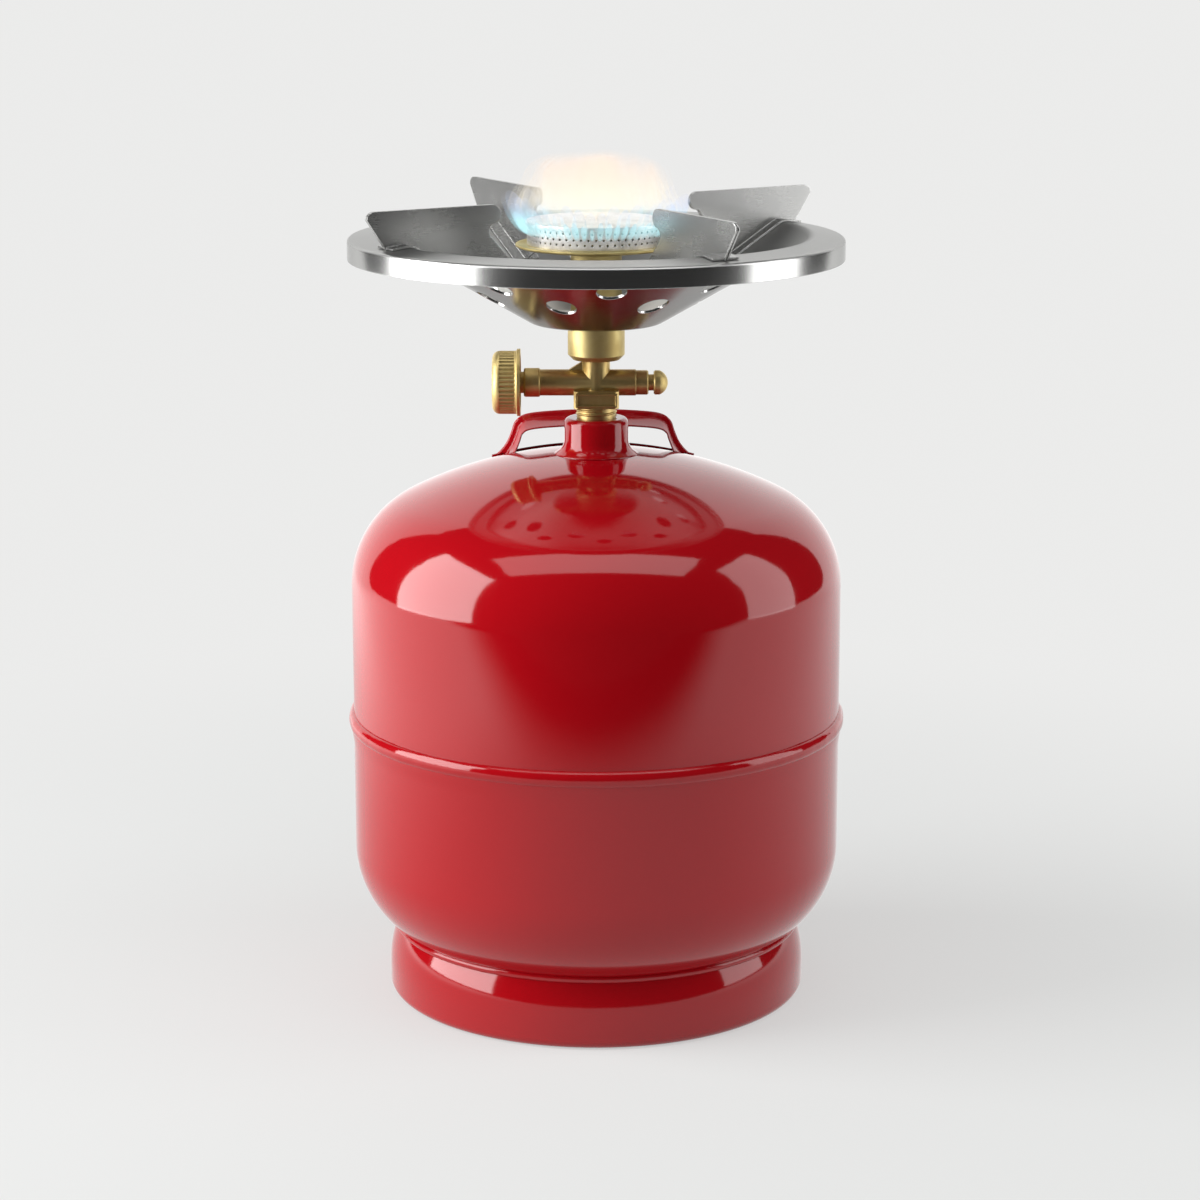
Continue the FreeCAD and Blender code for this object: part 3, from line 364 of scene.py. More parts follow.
def weld_enamel():
    """The same enamel on the neck, rippled over the weld at its foot."""
    material, surface, place = new_finish("weld_enamel")
    turn = place.node("Math", {"operation": "ARCTAN2"}, {0: across(place, "Y"), 1: across(place, "X")})
    wave = turn * 38.0 + cloud(place, scale=120.0) * 3.0
    ripple = place.node("Math", {"operation": "SINE"}, {0: wave})
    bead = 1.0 - ease(across(place, "Z"), start=NECK_TOP - 13.0 * MM, finish=NECK_TOP - 10.0 * MM)
    height = ripple * bead * 0.3 + cloud(place, scale=90.0)
    feed(surface, {
        "Base Color": blend_colour(cloud(place, scale=60.0), *ENAMEL),
        "Roughness": 0.05 + cloud(place, scale=200.0) * 0.03,
        "Normal": relief(height, depth=0.5 * MM, strength=0.05, edge=0.9 * MM),
    })
    return material


def along_tap(place):
    return across(place, "X")


def along_head(place):
    return across(place, "Z") + off_axis(place)


def turned_brass(name, along, bright, dull):
    """Brass from the lathe: fine rings along its axis and a light tarnish."""
    material, surface, place = new_finish(name)
    rings = lines(along(place), scale=5200.0)
    tarnish = ease(cloud(place, scale=95.0, detail=4.0), start=0.42, finish=0.72)
    feed(surface, {
        "Base Color": blend_colour(tarnish, bright, dull),
        "Metallic": 1.0,
        "Roughness": 0.44 + tarnish * 0.08 + rings * 0.06,
        "Normal": relief(rings, depth=0.1 * MM, strength=0.25, edge=0.4 * MM),
    })
    return material


def cast_brass():
    """The tap's body: forged brass, a little grainy, darker in patches."""
    material, surface, place = new_finish("cast_brass")
    grain = cloud(place, scale=1500.0, detail=3.0)
    patch = ease(cloud(place, scale=120.0, detail=4.0), start=0.38, finish=0.7)
    feed(surface, {
        "Base Color": blend_colour(patch, *CAST_BRASS),
        "Metallic": 1.0,
        "Roughness": 0.42 + patch * 0.08,
        "Normal": relief(grain, depth=0.2 * MM, strength=0.16, edge=0.5 * MM),
    })
    return material


def spun_steel():
    """Dish sheet: polished on the lathe with fine rings, duller above, tinted by heat near the burner."""
    material, surface, place = new_finish("spun_steel")
    reach = off_axis(place)
    rings = lines(reach, scale=4200.0)
    broad = lines(reach, scale=520.0)
    facing = Signal(place.socket.node.outputs["Normal"])
    upper = ease(across(facing, "Z"), start=0.2, finish=0.6)
    heat = 1.0 - ease(reach + cloud(place, scale=40.0) * 0.012, start=0.030, finish=0.062)
    feed(surface, {
        "Base Color": blend_colour(heat * 0.4, *DISH_STEEL),
        "Metallic": 1.0,
        "Specular Tint": (0.5, 0.5, 0.5, 1),
        "Roughness": 0.14 + rings * 0.08 + cloud(place, scale=60.0) * 0.05 + upper * 0.13,
        "Normal": relief(rings * 0.4 + broad, depth=0.12 * MM, strength=0.1, edge=0.4 * MM),
    })
    return material


def brushed_steel():
    """Pot supports: satin sheet with a faint level grain."""
    material, surface, place = new_finish("brushed_steel")
    grain = cloud(stretched(place, (70.0, 70.0, 5200.0)), scale=1.0, detail=3.0)
    smear = cloud(place, scale=55.0, detail=3.0)
    feed(surface, {
        "Base Color": blend_colour(smear, *FIN_STEEL),
        "Metallic": 1.0,
        "Specular Tint": (0.6, 0.6, 0.6, 1),
        "Roughness": 0.23 + smear * 0.06 + grain * 0.02,
        "Normal": relief(grain, depth=0.1 * MM, strength=0.003, edge=0.5 * MM),
    })
    return material


def bright_steel():
    """Screw, washer, ball and spring."""
    material, surface, place = new_finish("bright_steel")
    scuff = cloud(place, scale=700.0, detail=3.0)
    feed(surface, {
        "Base Color": blend_colour(scuff, *SCREW_STEEL),
        "Metallic": 1.0,
        "Roughness": 0.22 + scuff * 0.15,
    })
    return material


def ring_sheet():
    """Wall and lid of the burner head: pale sheet, dulled by heat."""
    material, surface, place = new_finish("ring_sheet")
    dull = ease(cloud(place, scale=150.0, detail=4.0), start=0.35, finish=0.75)
    feed(surface, {
        "Base Color": blend_colour(dull, *HEAD_SHEET),
        "Metallic": 1.0,
        "Roughness": 0.34 + dull * 0.12,
        "Normal": relief(cloud(place, scale=1400.0), depth=0.1 * MM, strength=0.08, edge=0.4 * MM),
    })
    return material


def seal_rubber():
    material, surface, place = new_finish("seal_rubber")
    bloom = cloud(place, scale=900.0, detail=3.0)
    feed(surface, {
        "Base Color": blend_colour(bloom, *RUBBER),
        "Roughness": 0.6 + bloom * 0.2,
    })
    return material


def flame_glow(name, level, colours, begin, fade_from, fade_to):
    """Lit gas that clears towards its tip; colours at the ports, above them and at the tip.

    Heights are shares of the way from the ring's foot to the flame's top.
    """
    material, surface, place = new_finish(name)
    material.cycles.emission_sampling = "NONE"
    rise = (across(place, "Z") - RING_LOW.z) / (FLAME_TOP - RING_LOW.z)
    streak = cloud(stretched(place, (1.0, 1.0, 0.08)), scale=150.0, detail=2.0)
    lick = cloud(stretched(place, (1.0, 1.0, 0.12)), scale=60.0, detail=1.0)
    low, middle, high = colours
    colour = blend_colour(ease(rise, start=0.2, finish=0.45), low, middle)
    colour = blend_colour(ease(rise, start=0.42, finish=0.85), colour, high)
    clear = 1.0 - ease(rise, start=0.82, finish=1.0)
    ragged = rise + off_axis(place) * FLAME_CONE + (lick - 0.5) * FLAME_LICKS
    fade = (1.0 - ease(ragged, fade_from, fade_to)) * clear
    start = ease(rise, begin, begin + 0.15)
    veil = 0.4 + ease(streak, start=0.36, finish=0.66) * 0.6
    feed(surface, {
        "Base Color": BLACK,
        "Specular IOR Level": 0.0,
        "Roughness": 1.0,
        "Emission Color": colour,
        "Emission Strength": FLAME_STRENGTH,
        "Alpha": fade * start * veil * level,
    })
    return material


def white_sweep():
    """Floor and backdrop: plain and pale, with soft shadows close to the object.

    In mirrors the floor is brighter beside the lamps and fades out in front of the object.
    """
    material, surface, place = new_finish("white_sweep")
    material.cycles.emission_sampling = "NONE"
    tree = material.node_tree
    path = tree.nodes.new("ShaderNodeLightPath").outputs
    seen = Signal(path["Is Camera Ray"])
    mirrored = Signal(path["Is Glossy Ray"])
    side = across(place, "X")
    run = across(place, "Y")
    near = 1.0 - ease(off_axis(place), start=0.16, finish=0.62)
    left = ease(side * -1.0, start=0.2, finish=0.6) * LEFT_GLARE
    right = ease(side, start=0.2, finish=0.6) * RIGHT_GLARE
    beside = FLOOR_LEVEL + left + right
    behind = ease(run, start=0.5, finish=1.2)
    level = (beside * (1.0 - behind) + behind * WALL_LEVEL) * ease(run, start=-0.64, finish=-0.42)
    reflected = blend_colour(level / FULL_GLARE, BLACK, FULL_GLARE_COLOUR)
    paper = near.node("BsdfDiffuse", {}, {"Color": PAPER})
    plain = near.node("Emission", {}, {"Color": BACKDROP, "Strength": 1.0})
    glare = near.node("Emission", {}, {"Color": reflected})
    shown = near.node("MixShader", {}, {0: near * SHADOW_SHARE, 1: plain, 2: paper})
    body = near.node("MixShader", {}, {0: seen, 1: paper, 2: shown})
    body = near.node("MixShader", {}, {0: mirrored, 1: body, 2: glare})
    tree.nodes.remove(surface)
    tree.links.new(body.socket, tree.nodes["Material Output"].inputs["Surface"])
    return material


def new_piece(name, points, faces, material, sharp=SHARP):
    """A mesh object with smooth faces and crisp edges where faces meet at more than an angle."""
    mesh = bpy.data.meshes.new(name)
    mesh.from_pydata(points, [], faces)
    mesh.validate()
    mesh.shade_smooth()
    mesh.set_sharp_from_angle(angle=math.radians(sharp))
    mesh.materials.append(material)
    piece = bpy.data.objects.new(name, mesh)
    bpy.context.scene.collection.objects.link(piece)
    return piece


def surface_of(node, material, sharp=SHARP):
    """Smooth surface of a CAD piece, shown in its place."""
    shape = bmesh.new()
    shape.from_mesh(frame["nodes"][node].data)
    bmesh.ops.remove_doubles(shape, verts=shape.verts, dist=ONE_CORNER)
    bmesh.ops.recalc_face_normals(shape, faces=shape.faces)
    shape.verts.index_update()
    points = [corner.co.copy() for corner in shape.verts]
    faces = [[corner.index for corner in face.verts] for face in shape.faces]
    shape.free()
    piece = new_piece(node + "_surface", points, faces, material, sharp)
    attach(piece, BODY_OF[node])
    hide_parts(node)


def lathe(name, outline, material, segments, ripple=None):
    """A closed round piece about the upright axis, from (radius, height) points; ripple bends the radius."""
    points = []
    rows = []
    for radius, height in outline:
        if radius < ON_AXIS:
            rows.append([len(points)] * segments)
            points.append((0.0, 0.0, height))
            continue
        row = []
        for step in range(segments):
            turn = 2 * math.pi * step / segments
            reach = radius * (ripple(turn, height) if ripple else 1.0)
            row.append(len(points))
            points.append((reach * math.cos(turn), reach * math.sin(turn), height))
        rows.append(row)
    faces = []
    closed = outline[0][0] > ON_AXIS
    for place in range(len(rows) if closed else len(rows) - 1):
        low, high = rows[place], rows[(place + 1) % len(rows)]
        for step in range(segments):
            after = (step + 1) % segments
            corners = [low[step], low[after], high[after], high[step]]
            faces.append(list(dict.fromkeys(corners)))
    return new_piece(name, points, faces, material)


def arc(centre, radius, start, finish, steps):
    """Points of an arc in a section, its angles measured from the radius direction."""
    turns = [start + (finish - start) * step / steps for step in range(steps + 1)]
    return [(centre[0] + radius * math.cos(turn), centre[1] + radius * math.sin(turn)) for turn in turns]


def smooth_line(points, steps):
    """Points along a soft line that passes through the given ones."""
    line = []
    for place in range(len(points) - 1):
        before = Vector(points[max(place - 1, 0)])
        first = Vector(points[place])
        second = Vector(points[place + 1])
        after = Vector(points[min(place + 2, len(points) - 1)])
        for step in range(steps):
            t = step / steps
            bend = 2 * before - 5 * first + 4 * second - after
            twist = 3 * (first - second) + after - before
            line.append(0.5 * (2 * first + (second - before) * t + bend * t ** 2 + twist * t ** 3))
    line.append(Vector(points[-1]))
    return line


def swept_faces(count, size):
    """Faces of a section of some corners carried through a count of places, with both ends closed."""
    faces = [list(range(size)), list(range((count - 1) * size, count * size))]
    for step in range(count - 1):
        for corner in range(size):
            after = (corner + 1) % size
            base, ahead = step * size, (step + 1) * size
            faces.append([base + corner, ahead + corner, ahead + after, base + after])
    return faces


def close_skin(piece):
    """Turn the faces of a closed piece outwards."""
    shape = bmesh.new()
    shape.from_mesh(piece.data)
    bmesh.ops.recalc_face_normals(shape, faces=shape.faces)
    shape.to_mesh(piece.data)
    shape.free()


def node_tree(name, inputs):
    """A new geometry tree with a mesh going in and out and named inputs."""
    tree = bpy.data.node_groups.new(name, "GeometryNodeTree")
    tree.interface.new_socket("Mesh", in_out="INPUT", socket_type="NodeSocketGeometry")
    for label, kind in inputs.items():
        tree.interface.new_socket(label, in_out="INPUT", socket_type="NodeSocket" + kind)
    tree.interface.new_socket("Mesh", in_out="OUTPUT", socket_type="NodeSocketGeometry")
    return tree


def grow(tree, kind, settings, inputs):
    """One node of a geometry tree: its settings, then values or output sockets for its inputs."""
    made = tree.nodes.new(kind)
    for name, setting in settings.items():
        setattr(made, name, setting)
    for name, given in inputs.items():
        if isinstance(given, bpy.types.NodeSocket):
            tree.links.new(given, made.inputs[name])
        else:
            made.inputs[name].default_value = given
    return made


def moved(tree, shape, **change):
    """A shape with its Translation, Rotation or Scale changed."""
    return grow(tree, "GeometryNodeTransform", {}, {"Geometry": shape, **change}).outputs[0]


def circle_of(tree, given, shape, lean):
    """Copies of a shape standing out from a circle, each turned to lean outwards and up."""
    ring = {"Vertices": given["Count"], "Radius": given["Reach"]}
    circle = grow(tree, "GeometryNodeMeshCircle", {}, ring)
    spot = grow(tree, "GeometryNodeInputPosition", {}, {}).outputs[0]
    outward = grow(tree, "ShaderNodeVectorMath", {"operation": "NORMALIZE"}, {0: spot}).outputs[0]
    aim = grow(tree, "ShaderNodeVectorMath", {"operation": "ADD"}, {0: outward, 1: (0, 0, lean)}).outputs[0]
    turn = grow(tree, "FunctionNodeAlignRotationToVector", {"axis": "Z"}, {"Vector": aim}).outputs[0]
    standing = {"Points": circle.outputs[0], "Instance": shape, "Rotation": turn}
    return grow(tree, "GeometryNodeInstanceOnPoints", {}, standing)


def end_tree(tree, shape, material):
    """Paint a shape and send it out of its tree."""
    painted = grow(tree, "GeometryNodeSetMaterial", {}, {0: shape, "Material": material}).outputs[0]
    grow(tree, "NodeGroupOutput", {}, {0: painted})


def cut_out(tree, given, tools, material):
    """Cut rows of tools out of the mesh that goes into a tree, and end the tree."""
    joined = grow(tree, "GeometryNodeJoinGeometry", {}, {})
    for tool in tools:
        tree.links.new(tool, joined.inputs[0])
    real = grow(tree, "GeometryNodeRealizeInstances", {}, {0: joined.outputs[0]}).outputs[0]
    cut = grow(tree, "GeometryNodeMeshBoolean", {"operation": "DIFFERENCE"}, {"Mesh 1": given["Mesh"]})
    tree.links.new(real, cut.inputs["Mesh 2"])
    end_tree(tree, cut.outputs[0], material)


def apply_tree(piece, tree, values):
    """Run a geometry tree on a piece and keep the plain mesh that it makes."""
    modifier = piece.modifiers.new(tree.name, "NODES")
    modifier.node_group = tree
    for item in tree.interface.items_tree:
        if item.in_out == "INPUT" and item.name in values:
            modifier[item.identifier] = values[item.name]
    bpy.context.view_layer.update()
    made = bpy.data.meshes.new_from_object(piece.evaluated_get(bpy.context.evaluated_depsgraph_get()))
    piece.modifiers.remove(modifier)
    piece.data = made
    made.shade_smooth()
    made.set_sharp_from_angle(angle=math.radians(SHARP))


def perforated_ring(material):
    """Wall of the burner head, with three staggered rows of flame ports cut through it."""
    outer = RING_HIGH.x
    inner = outer - RING_SHEET
    section = [(inner, RING_LOW.z), (outer, RING_LOW.z), (outer, RING_HIGH.z), (inner, RING_HIGH.z)]
    ring = lathe("flame_ring_surface", section, material, PORTS_PER_ROW * 4)
    tree = node_tree("flame_ports", {"Count": "Int", "Reach": "Float", "Port radius": "Float"})
    given = grow(tree, "NodeGroupInput", {}, {}).outputs
    drill = {"Vertices": PORT_SIDES, "Radius": given["Port radius"], "Depth": RING_SHEET * 4}
    drills = grow(tree, "GeometryNodeMeshCylinder", {}, drill).outputs["Mesh"]
    row = circle_of(tree, given, drills, lean=0.0).outputs[0]
    rows = []
    for place, height in enumerate(PORT_ROWS):
        stagger = math.pi / PORTS_PER_ROW * (place % 2)
        rows.append(moved(tree, row, Translation=(0, 0, RING_LOW.z + height), Rotation=(0, 0, stagger)))
    cut_out(tree, given, rows, material)
    middle = outer - RING_SHEET / 2
    apply_tree(ring, tree, {"Count": PORTS_PER_ROW, "Reach": middle, "Port radius": PORT_RADIUS})
    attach(ring, BODY_OF["flame_ring"])
    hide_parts("flame_ring")


def dish_section():
    """Outline of the dish's sheet: under its floor and out to the rim, then back over the top."""
    low, outer = DISH_LOW.z, DISH_HIGH.x
    bend = (DISH_FLOOR, low + DISH_SHEET + FLOOR_ROUND)
    crest = (outer - CREST_INSET, DISH_HIGH.z - CREST_ROUND)
    rim_x = outer - RIM_ROUND
    fall_start = crest[0] + CREST_ROUND * math.sin(LIP_FALL)
    fall_run = rim_x + RIM_ROUND * math.sin(LIP_FALL) - fall_start
    lip_end = crest[1] + CREST_ROUND * math.cos(LIP_FALL) - math.tan(LIP_FALL) * fall_run
    rim = (rim_x, lip_end - RIM_ROUND * math.cos(LIP_FALL))
    rim_foot = DISH_HIGH.z - RIM_DROP
    cone_low, cone_high = DISH_SLOPE - QUARTER, DISH_SLOPE + QUARTER
    lip = QUARTER - LIP_FALL
    under = arc(bend, FLOOR_ROUND + DISH_SHEET, -QUARTER, cone_low, steps=10)
    under += arc(crest, CREST_ROUND - DISH_SHEET, cone_high, lip, steps=12)
    under += arc(rim, RIM_ROUND - DISH_SHEET, lip, 0.0, steps=5)
    over = arc(rim, RIM_ROUND, 0.0, lip, steps=8)
    over += arc(crest, CREST_ROUND, lip, cone_high, steps=14)
    over += arc(bend, FLOOR_ROUND, cone_low, -QUARTER, steps=10)
    edge = [(outer - DISH_SHEET, rim_foot), (outer, rim_foot)]
    return [(DISH_HOLE, low)] + under + edge + over + [(DISH_HOLE, low + DISH_SHEET)]


def vented_dish(material):
    """Dish with two rings of vents punched through its cone."""
    dish = lathe("dish_surface", dish_section(), material, DISH_STEPS)
    tree = node_tree("dish_vents", {"Count": "Int", "Vent radius": "Float"})
    given = grow(tree, "NodeGroupInput", {}, {}).outputs
    through = 2 * (DISH_HIGH.z - DISH_LOW.z)
    punch = {"Vertices": VENT_SIDES, "Radius": given["Vent radius"], "Depth": through}
    punches = grow(tree, "GeometryNodeMeshCylinder", {}, punch).outputs["Mesh"]
    rows = []
    for reach, turn in VENT_ROWS:
        circle = grow(tree, "GeometryNodeMeshCircle", {}, {"Vertices": given["Count"], "Radius": reach})
        standing = {"Points": circle.outputs[0], "Instance": punches}
        row = grow(tree, "GeometryNodeInstanceOnPoints", {}, standing).outputs[0]
        spin = (0, 0, math.radians(turn))
        rows.append(moved(tree, row, Translation=(0, 0, DISH_LOW.z), Rotation=spin))
    cut_out(tree, given, rows, material)
    apply_tree(dish, tree, {"Count": VENTS, "Vent radius": VENT_RADIUS})
    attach(dish, BODY_OF["dish"])
    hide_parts("dish")


def inlet_thread(material):
    """Helical thread between the neck and the tap's block."""
    half = THREAD_PITCH * THREAD_FOOT_SHARE
    section = [
        (THREAD_ROOT, -half),
        (THREAD_CREST, -THREAD_FLAT),
        (THREAD_CREST, THREAD_FLAT),
        (THREAD_ROOT, half),
    ]
    turns = (THREAD_RISE - THREAD_PITCH) / THREAD_PITCH
    places = int(THREAD_STEPS * turns) + 1
    points = []
    for step in range(places):
        turn = 2 * math.pi * step / THREAD_STEPS
        height = NECK_TOP + THREAD_PITCH * (0.5 + step / THREAD_STEPS)
        for reach, rise in section:
            points.append((reach * math.cos(turn), reach * math.sin(turn), height + rise))
    faces = swept_faces(places, len(section))
    piece = new_piece("inlet_thread", points, faces, material, sharp=28.0)
    close_skin(piece)
    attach(piece, "stove")


def block_border(material):
    """Raised border round the bare front of the tap's block."""
    half_width = BLOCK_WIDTH / 2 - BORDER_INSET
    half_height = BLOCK_HEIGHT / 2 - BORDER_INSET
    middle = BLOCK_FOOT + BLOCK_HEIGHT / 2
    loops = (
        (0.0, -BORDER_SINK),
        (BORDER_SLOPE, BORDER_RISE),
        (BORDER_WIDTH - BORDER_SLOPE, BORDER_RISE),
        (BORDER_WIDTH, -BORDER_SINK),
    )
    corners = ((-1, -1), (1, -1), (1, 1), (-1, 1))
    points = []
    for inset, rise in loops:
        for side, up in corners:
            sideways = side * (half_width - inset)
            points.append((sideways, BLOCK_FRONT - rise, middle + up * (half_height - inset)))
    size = len(corners)
    faces = []
    for place in range(len(loops)):
        low, high = size * place, size * ((place + 1) % len(loops))
        for corner in range(size):
            after = (corner + 1) % size
            faces.append([low + corner, low + after, high + after, high + corner])
    border = new_piece("block_border", points, faces, material, sharp=20.0)
    close_skin(border)
    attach(border, "stove")


def crown_height(point):
    return CROWN_CENTRE + math.sqrt(CROWN_RADIUS ** 2 - point.x ** 2 - point.y ** 2)


def handle_point(side, depth, rise):
    """A place on the handle, turned a little about the bottle's axis and never far below the crown."""
    point = Vector((
        side * math.cos(HANDLE_TURN) - depth * math.sin(HANDLE_TURN),
        side * math.sin(HANDLE_TURN) + depth * math.cos(HANDLE_TURN),
        rise,
    ))
    point.z = max(point.z, crown_height(point) - HANDLE_SINK)
    return point


def strap_handle(material):
    """Pressed strap: a level web with an upright flange along its back."""
    right = [(side * MM, rise * MM) for side, rise in HANDLE_HALF]
    left = [(-side, rise) for side, rise in reversed(right[1:])]
    line = smooth_line(left + right, HANDLE_STEPS)
    points = []
    for place, spot in enumerate(line):
        ahead = line[min(place + 1, len(line) - 1)] - line[max(place - 1, 0)]
        inward = Vector((ahead.y, -ahead.x)).normalized()
        for depth, drop in HANDLE_SECTION:
            corner = spot + inward * drop * MM
            points.append(handle_point(corner.x, depth * MM, corner.y))
    faces = swept_faces(len(line), len(HANDLE_SECTION))
    handle = new_piece("carry_handle_surface", points, faces, material, sharp=50.0)
    close_skin(handle)
    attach(handle, BODY_OF["carry_handle"])
    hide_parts("carry_handle")


def handle_base(material):
    """Low strip on the crown that joins the handle's feet."""
    reach = HANDLE_HALF[-1][0] * MM
    points = []
    for step in range(STRIP_PLACES):
        side = -reach + 2 * reach * step / (STRIP_PLACES - 1)
        for depth, rise in STRIP_SECTION:
            point = handle_point(side, depth * MM, 0.0)
            points.append(Vector((point.x, point.y, crown_height(point) + rise * MM)))
    faces = swept_faces(STRIP_PLACES, len(STRIP_SECTION))
    strip = new_piece("handle_base", points, faces, material, sharp=50.0)
    close_skin(strip)
    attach(strip, "stove")


def uneven(turn, height):
    """Small changes of radius round a weld bead, the same at every height."""
    wave = math.sin(17 * turn) + math.sin(41 * turn + 1.3) + 0.6 * math.sin(97 * turn + 0.4)
    return 1 + WELD_UNEVEN * wave


def girth_weld(material):
    """Rounded bead round the seam, a little uneven as welds are."""
    middle = SEAM_LEVEL - BEAD_DROP
    outline = []
    for step in range(BEAD_ARC + 1):
        turn = math.pi * step / BEAD_ARC - QUARTER
        outline.append((BOTTLE_RADIUS + BEAD_RISE * math.cos(turn), middle + BEAD_HALF * math.sin(turn)))
    outline.append((BOTTLE_RADIUS - BEAD_SINK, middle + BEAD_HALF))
    outline.append((BOTTLE_RADIUS - BEAD_SINK, middle - BEAD_HALF))
    bead = lathe("girth_weld", outline, material, BEAD_STEPS, uneven)
    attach(bead, "stove")


def foot_ring(material):
    """Ring that the bottle stands on, its shoulder rounded and its lower edge turned in."""
    bend = (FOOT_RADIUS - FOOT_SHOULDER, FOOT_STRAIGHT)
    toe = (FOOT_RADIUS - FOOT_EDGE, FOOT_EDGE)
    lip = FOOT_RADIUS - FOOT_WALL - FOOT_FLANGE
    outline = [(lip, 0.0)]
    outline += arc(toe, FOOT_EDGE, -QUARTER, 0.0, steps=8)
    outline += arc(bend, FOOT_SHOULDER, 0.0, FOOT_LEAN, steps=16)
    outline += arc(bend, FOOT_SHOULDER - FOOT_WALL, FOOT_LEAN, 0.0, steps=16)
    outline += arc(toe, FOOT_EDGE - FOOT_WALL, 0.0, -QUARTER, steps=4)
    outline.append((lip, FOOT_WALL))
    ring = lathe("foot_ring_surface", outline, material, FOOT_STEPS)
    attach(ring, BODY_OF["foot_ring"])
    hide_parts("foot_ring")


def foot_weld(material):
    """Bead in the corner between the bottle and its foot ring."""
    last = FOOT_WELD_SIDES - 1
    outline = arc(FOOT_WELD, FOOT_WELD_RADIUS, 0.0, 2 * math.pi * last / FOOT_WELD_SIDES, last)
    bead = lathe("foot_weld", outline, material, BEAD_STEPS, uneven)
    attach(bead, "stove")


def flame_layer(name, reach, top, material, lobes):
    """One skin of the flame: round at the ports, waisted out, closing at its tip."""
    foot = RING_LOW.z + FLAME_FOOT
    outline = [(0.0, foot)]
    for step in range(FLAME_RINGS + 1):
        share = step / FLAME_RINGS
        swell = 1 - FLAME_SWELL * (1 - math.sin(math.pi * min(share / FLAME_SWELL_SHARE, 1.0) / 2))
        taper = 1 - FLAME_TAPER * share ** FLAME_TAPER_POWER
        radius = reach * swell * taper * math.sqrt(1 - share ** FLAME_CAP_POWER)
        outline.append((radius if step < FLAME_RINGS else 0.0, foot + (top - foot) * share))

    def sway(turn, height):
        rise = (height - foot) / (top - foot)
        wave = 0.5 * math.sin(lobes * turn + 9 * rise) + 0.5 * math.sin((lobes + 4) * turn - 5 * rise)
        return 1 - FLAME_SWAY * (1 - wave) * (0.3 + rise)

    skin = lathe(name, outline, material, FLAME_STEPS, sway)
    skin.visible_shadow = False
    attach(skin, "stove")
    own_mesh(skin)


def random_size(tree):
    """A different size for each small flame."""
    size = {"Min": 0.6, "Max": 1.0, "Seed": 7}
    drawn = grow(tree, "FunctionNodeRandomValue", {"data_type": "FLOAT"}, {})
    for socket in drawn.inputs:
        if socket.enabled and socket.name in size:
            socket.default_value = size[socket.name]
    return [socket for socket in drawn.outputs if socket.enabled][0]


def flame_tongues(name, material, count, radius, length, lean):
    """Small separate flames that stand out from the ports."""
    placeholder = [(0.0, 0.0, 0.0), (MM, 0.0, 0.0), (0.0, MM, 0.0)]
    tongues = new_piece(name, placeholder, [[0, 1, 2]], material)
    tree = node_tree(name + "_tree", {"Count": "Int", "Reach": "Float", "Radius": "Float"})
    given = grow(tree, "NodeGroupInput", {}, {}).outputs
    ball = {"Segments": TONGUE_SIDES, "Rings": TONGUE_SIDES, "Radius": given["Radius"]}
    round_flame = grow(tree, "GeometryNodeMeshUVSphere", {}, ball).outputs["Mesh"]
    drawn_out = (1.0, 1.0, length / (2 * radius))
    blade = moved(tree, round_flame, Scale=drawn_out, Translation=(0, 0, length / 2))
    standing = circle_of(tree, given, blade, lean)
    tree.links.new(random_size(tree), standing.inputs["Scale"])
    lifted = moved(tree, standing.outputs[0], Translation=(0, 0, RING_LOW.z + PORT_ROWS[1]))
    real = grow(tree, "GeometryNodeRealizeInstances", {}, {0: lifted}).outputs[0]
    end_tree(tree, real, material)
    apply_tree(tongues, tree, {"Count": count, "Reach": RING_HIGH.x, "Radius": radius})
    tongues.visible_shadow = False
    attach(tongues, "stove")
    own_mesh(tongues)


def sweep(material):
    """Floor that runs back and curves up into the backdrop."""
    line = [(SWEEP_FRONT, 0.0)]
    for step in range(SWEEP_ARC + 1):
        turn = QUARTER * step / SWEEP_ARC
        run = SWEEP_BACK - SWEEP_BEND + SWEEP_BEND * math.sin(turn)
        line.append((run, SWEEP_BEND - SWEEP_BEND * math.cos(turn)))
    line.append((SWEEP_BACK, SWEEP_TOP))
    points = [(side * SWEEP_SIDE, run, rise) for run, rise in line for side in (-1, 1)]
    faces = [[2 * step, 2 * step + 1, 2 * step + 3, 2 * step + 2] for step in range(len(line) - 1)]
    new_piece("sweep", points, faces, material, sharp=60.0)


def softbox(name, place, aim, width, height, level):
    """A flat lamp; its level is the brightness that a mirror would show."""
    lamp = bpy.data.lights.new(name, "AREA")
    lamp.shape = "RECTANGLE"
    lamp.size = width
    lamp.size_y = height
    lamp.energy = level * math.pi * width * height
    holder = bpy.data.objects.new(name, lamp)
    holder.location = place
    holder.rotation_euler = (Vector(aim) - Vector(place)).to_track_quat("-Z", "Y").to_euler()
    bpy.context.scene.collection.objects.link(holder)


def room_light(level):
    """Plain white behind for the camera, a low even light for the object, dark in its mirrors."""
    world = bpy.data.worlds.new("room")
    world.use_nodes = True
    bpy.context.scene.world = world
    tree = world.node_tree
    path = tree.nodes.new("ShaderNodeLightPath").outputs
    seen = Signal(path["Is Camera Ray"])
    mirrored = Signal(path["Is Glossy Ray"])
    shade = blend_colour(mirrored, (level, level, level, 1), DARK_ROOM)
    shade = blend_colour(seen, shade, BACKDROP)
    feed(tree.nodes["Background"], {"Color": shade, "Strength": 1.0})


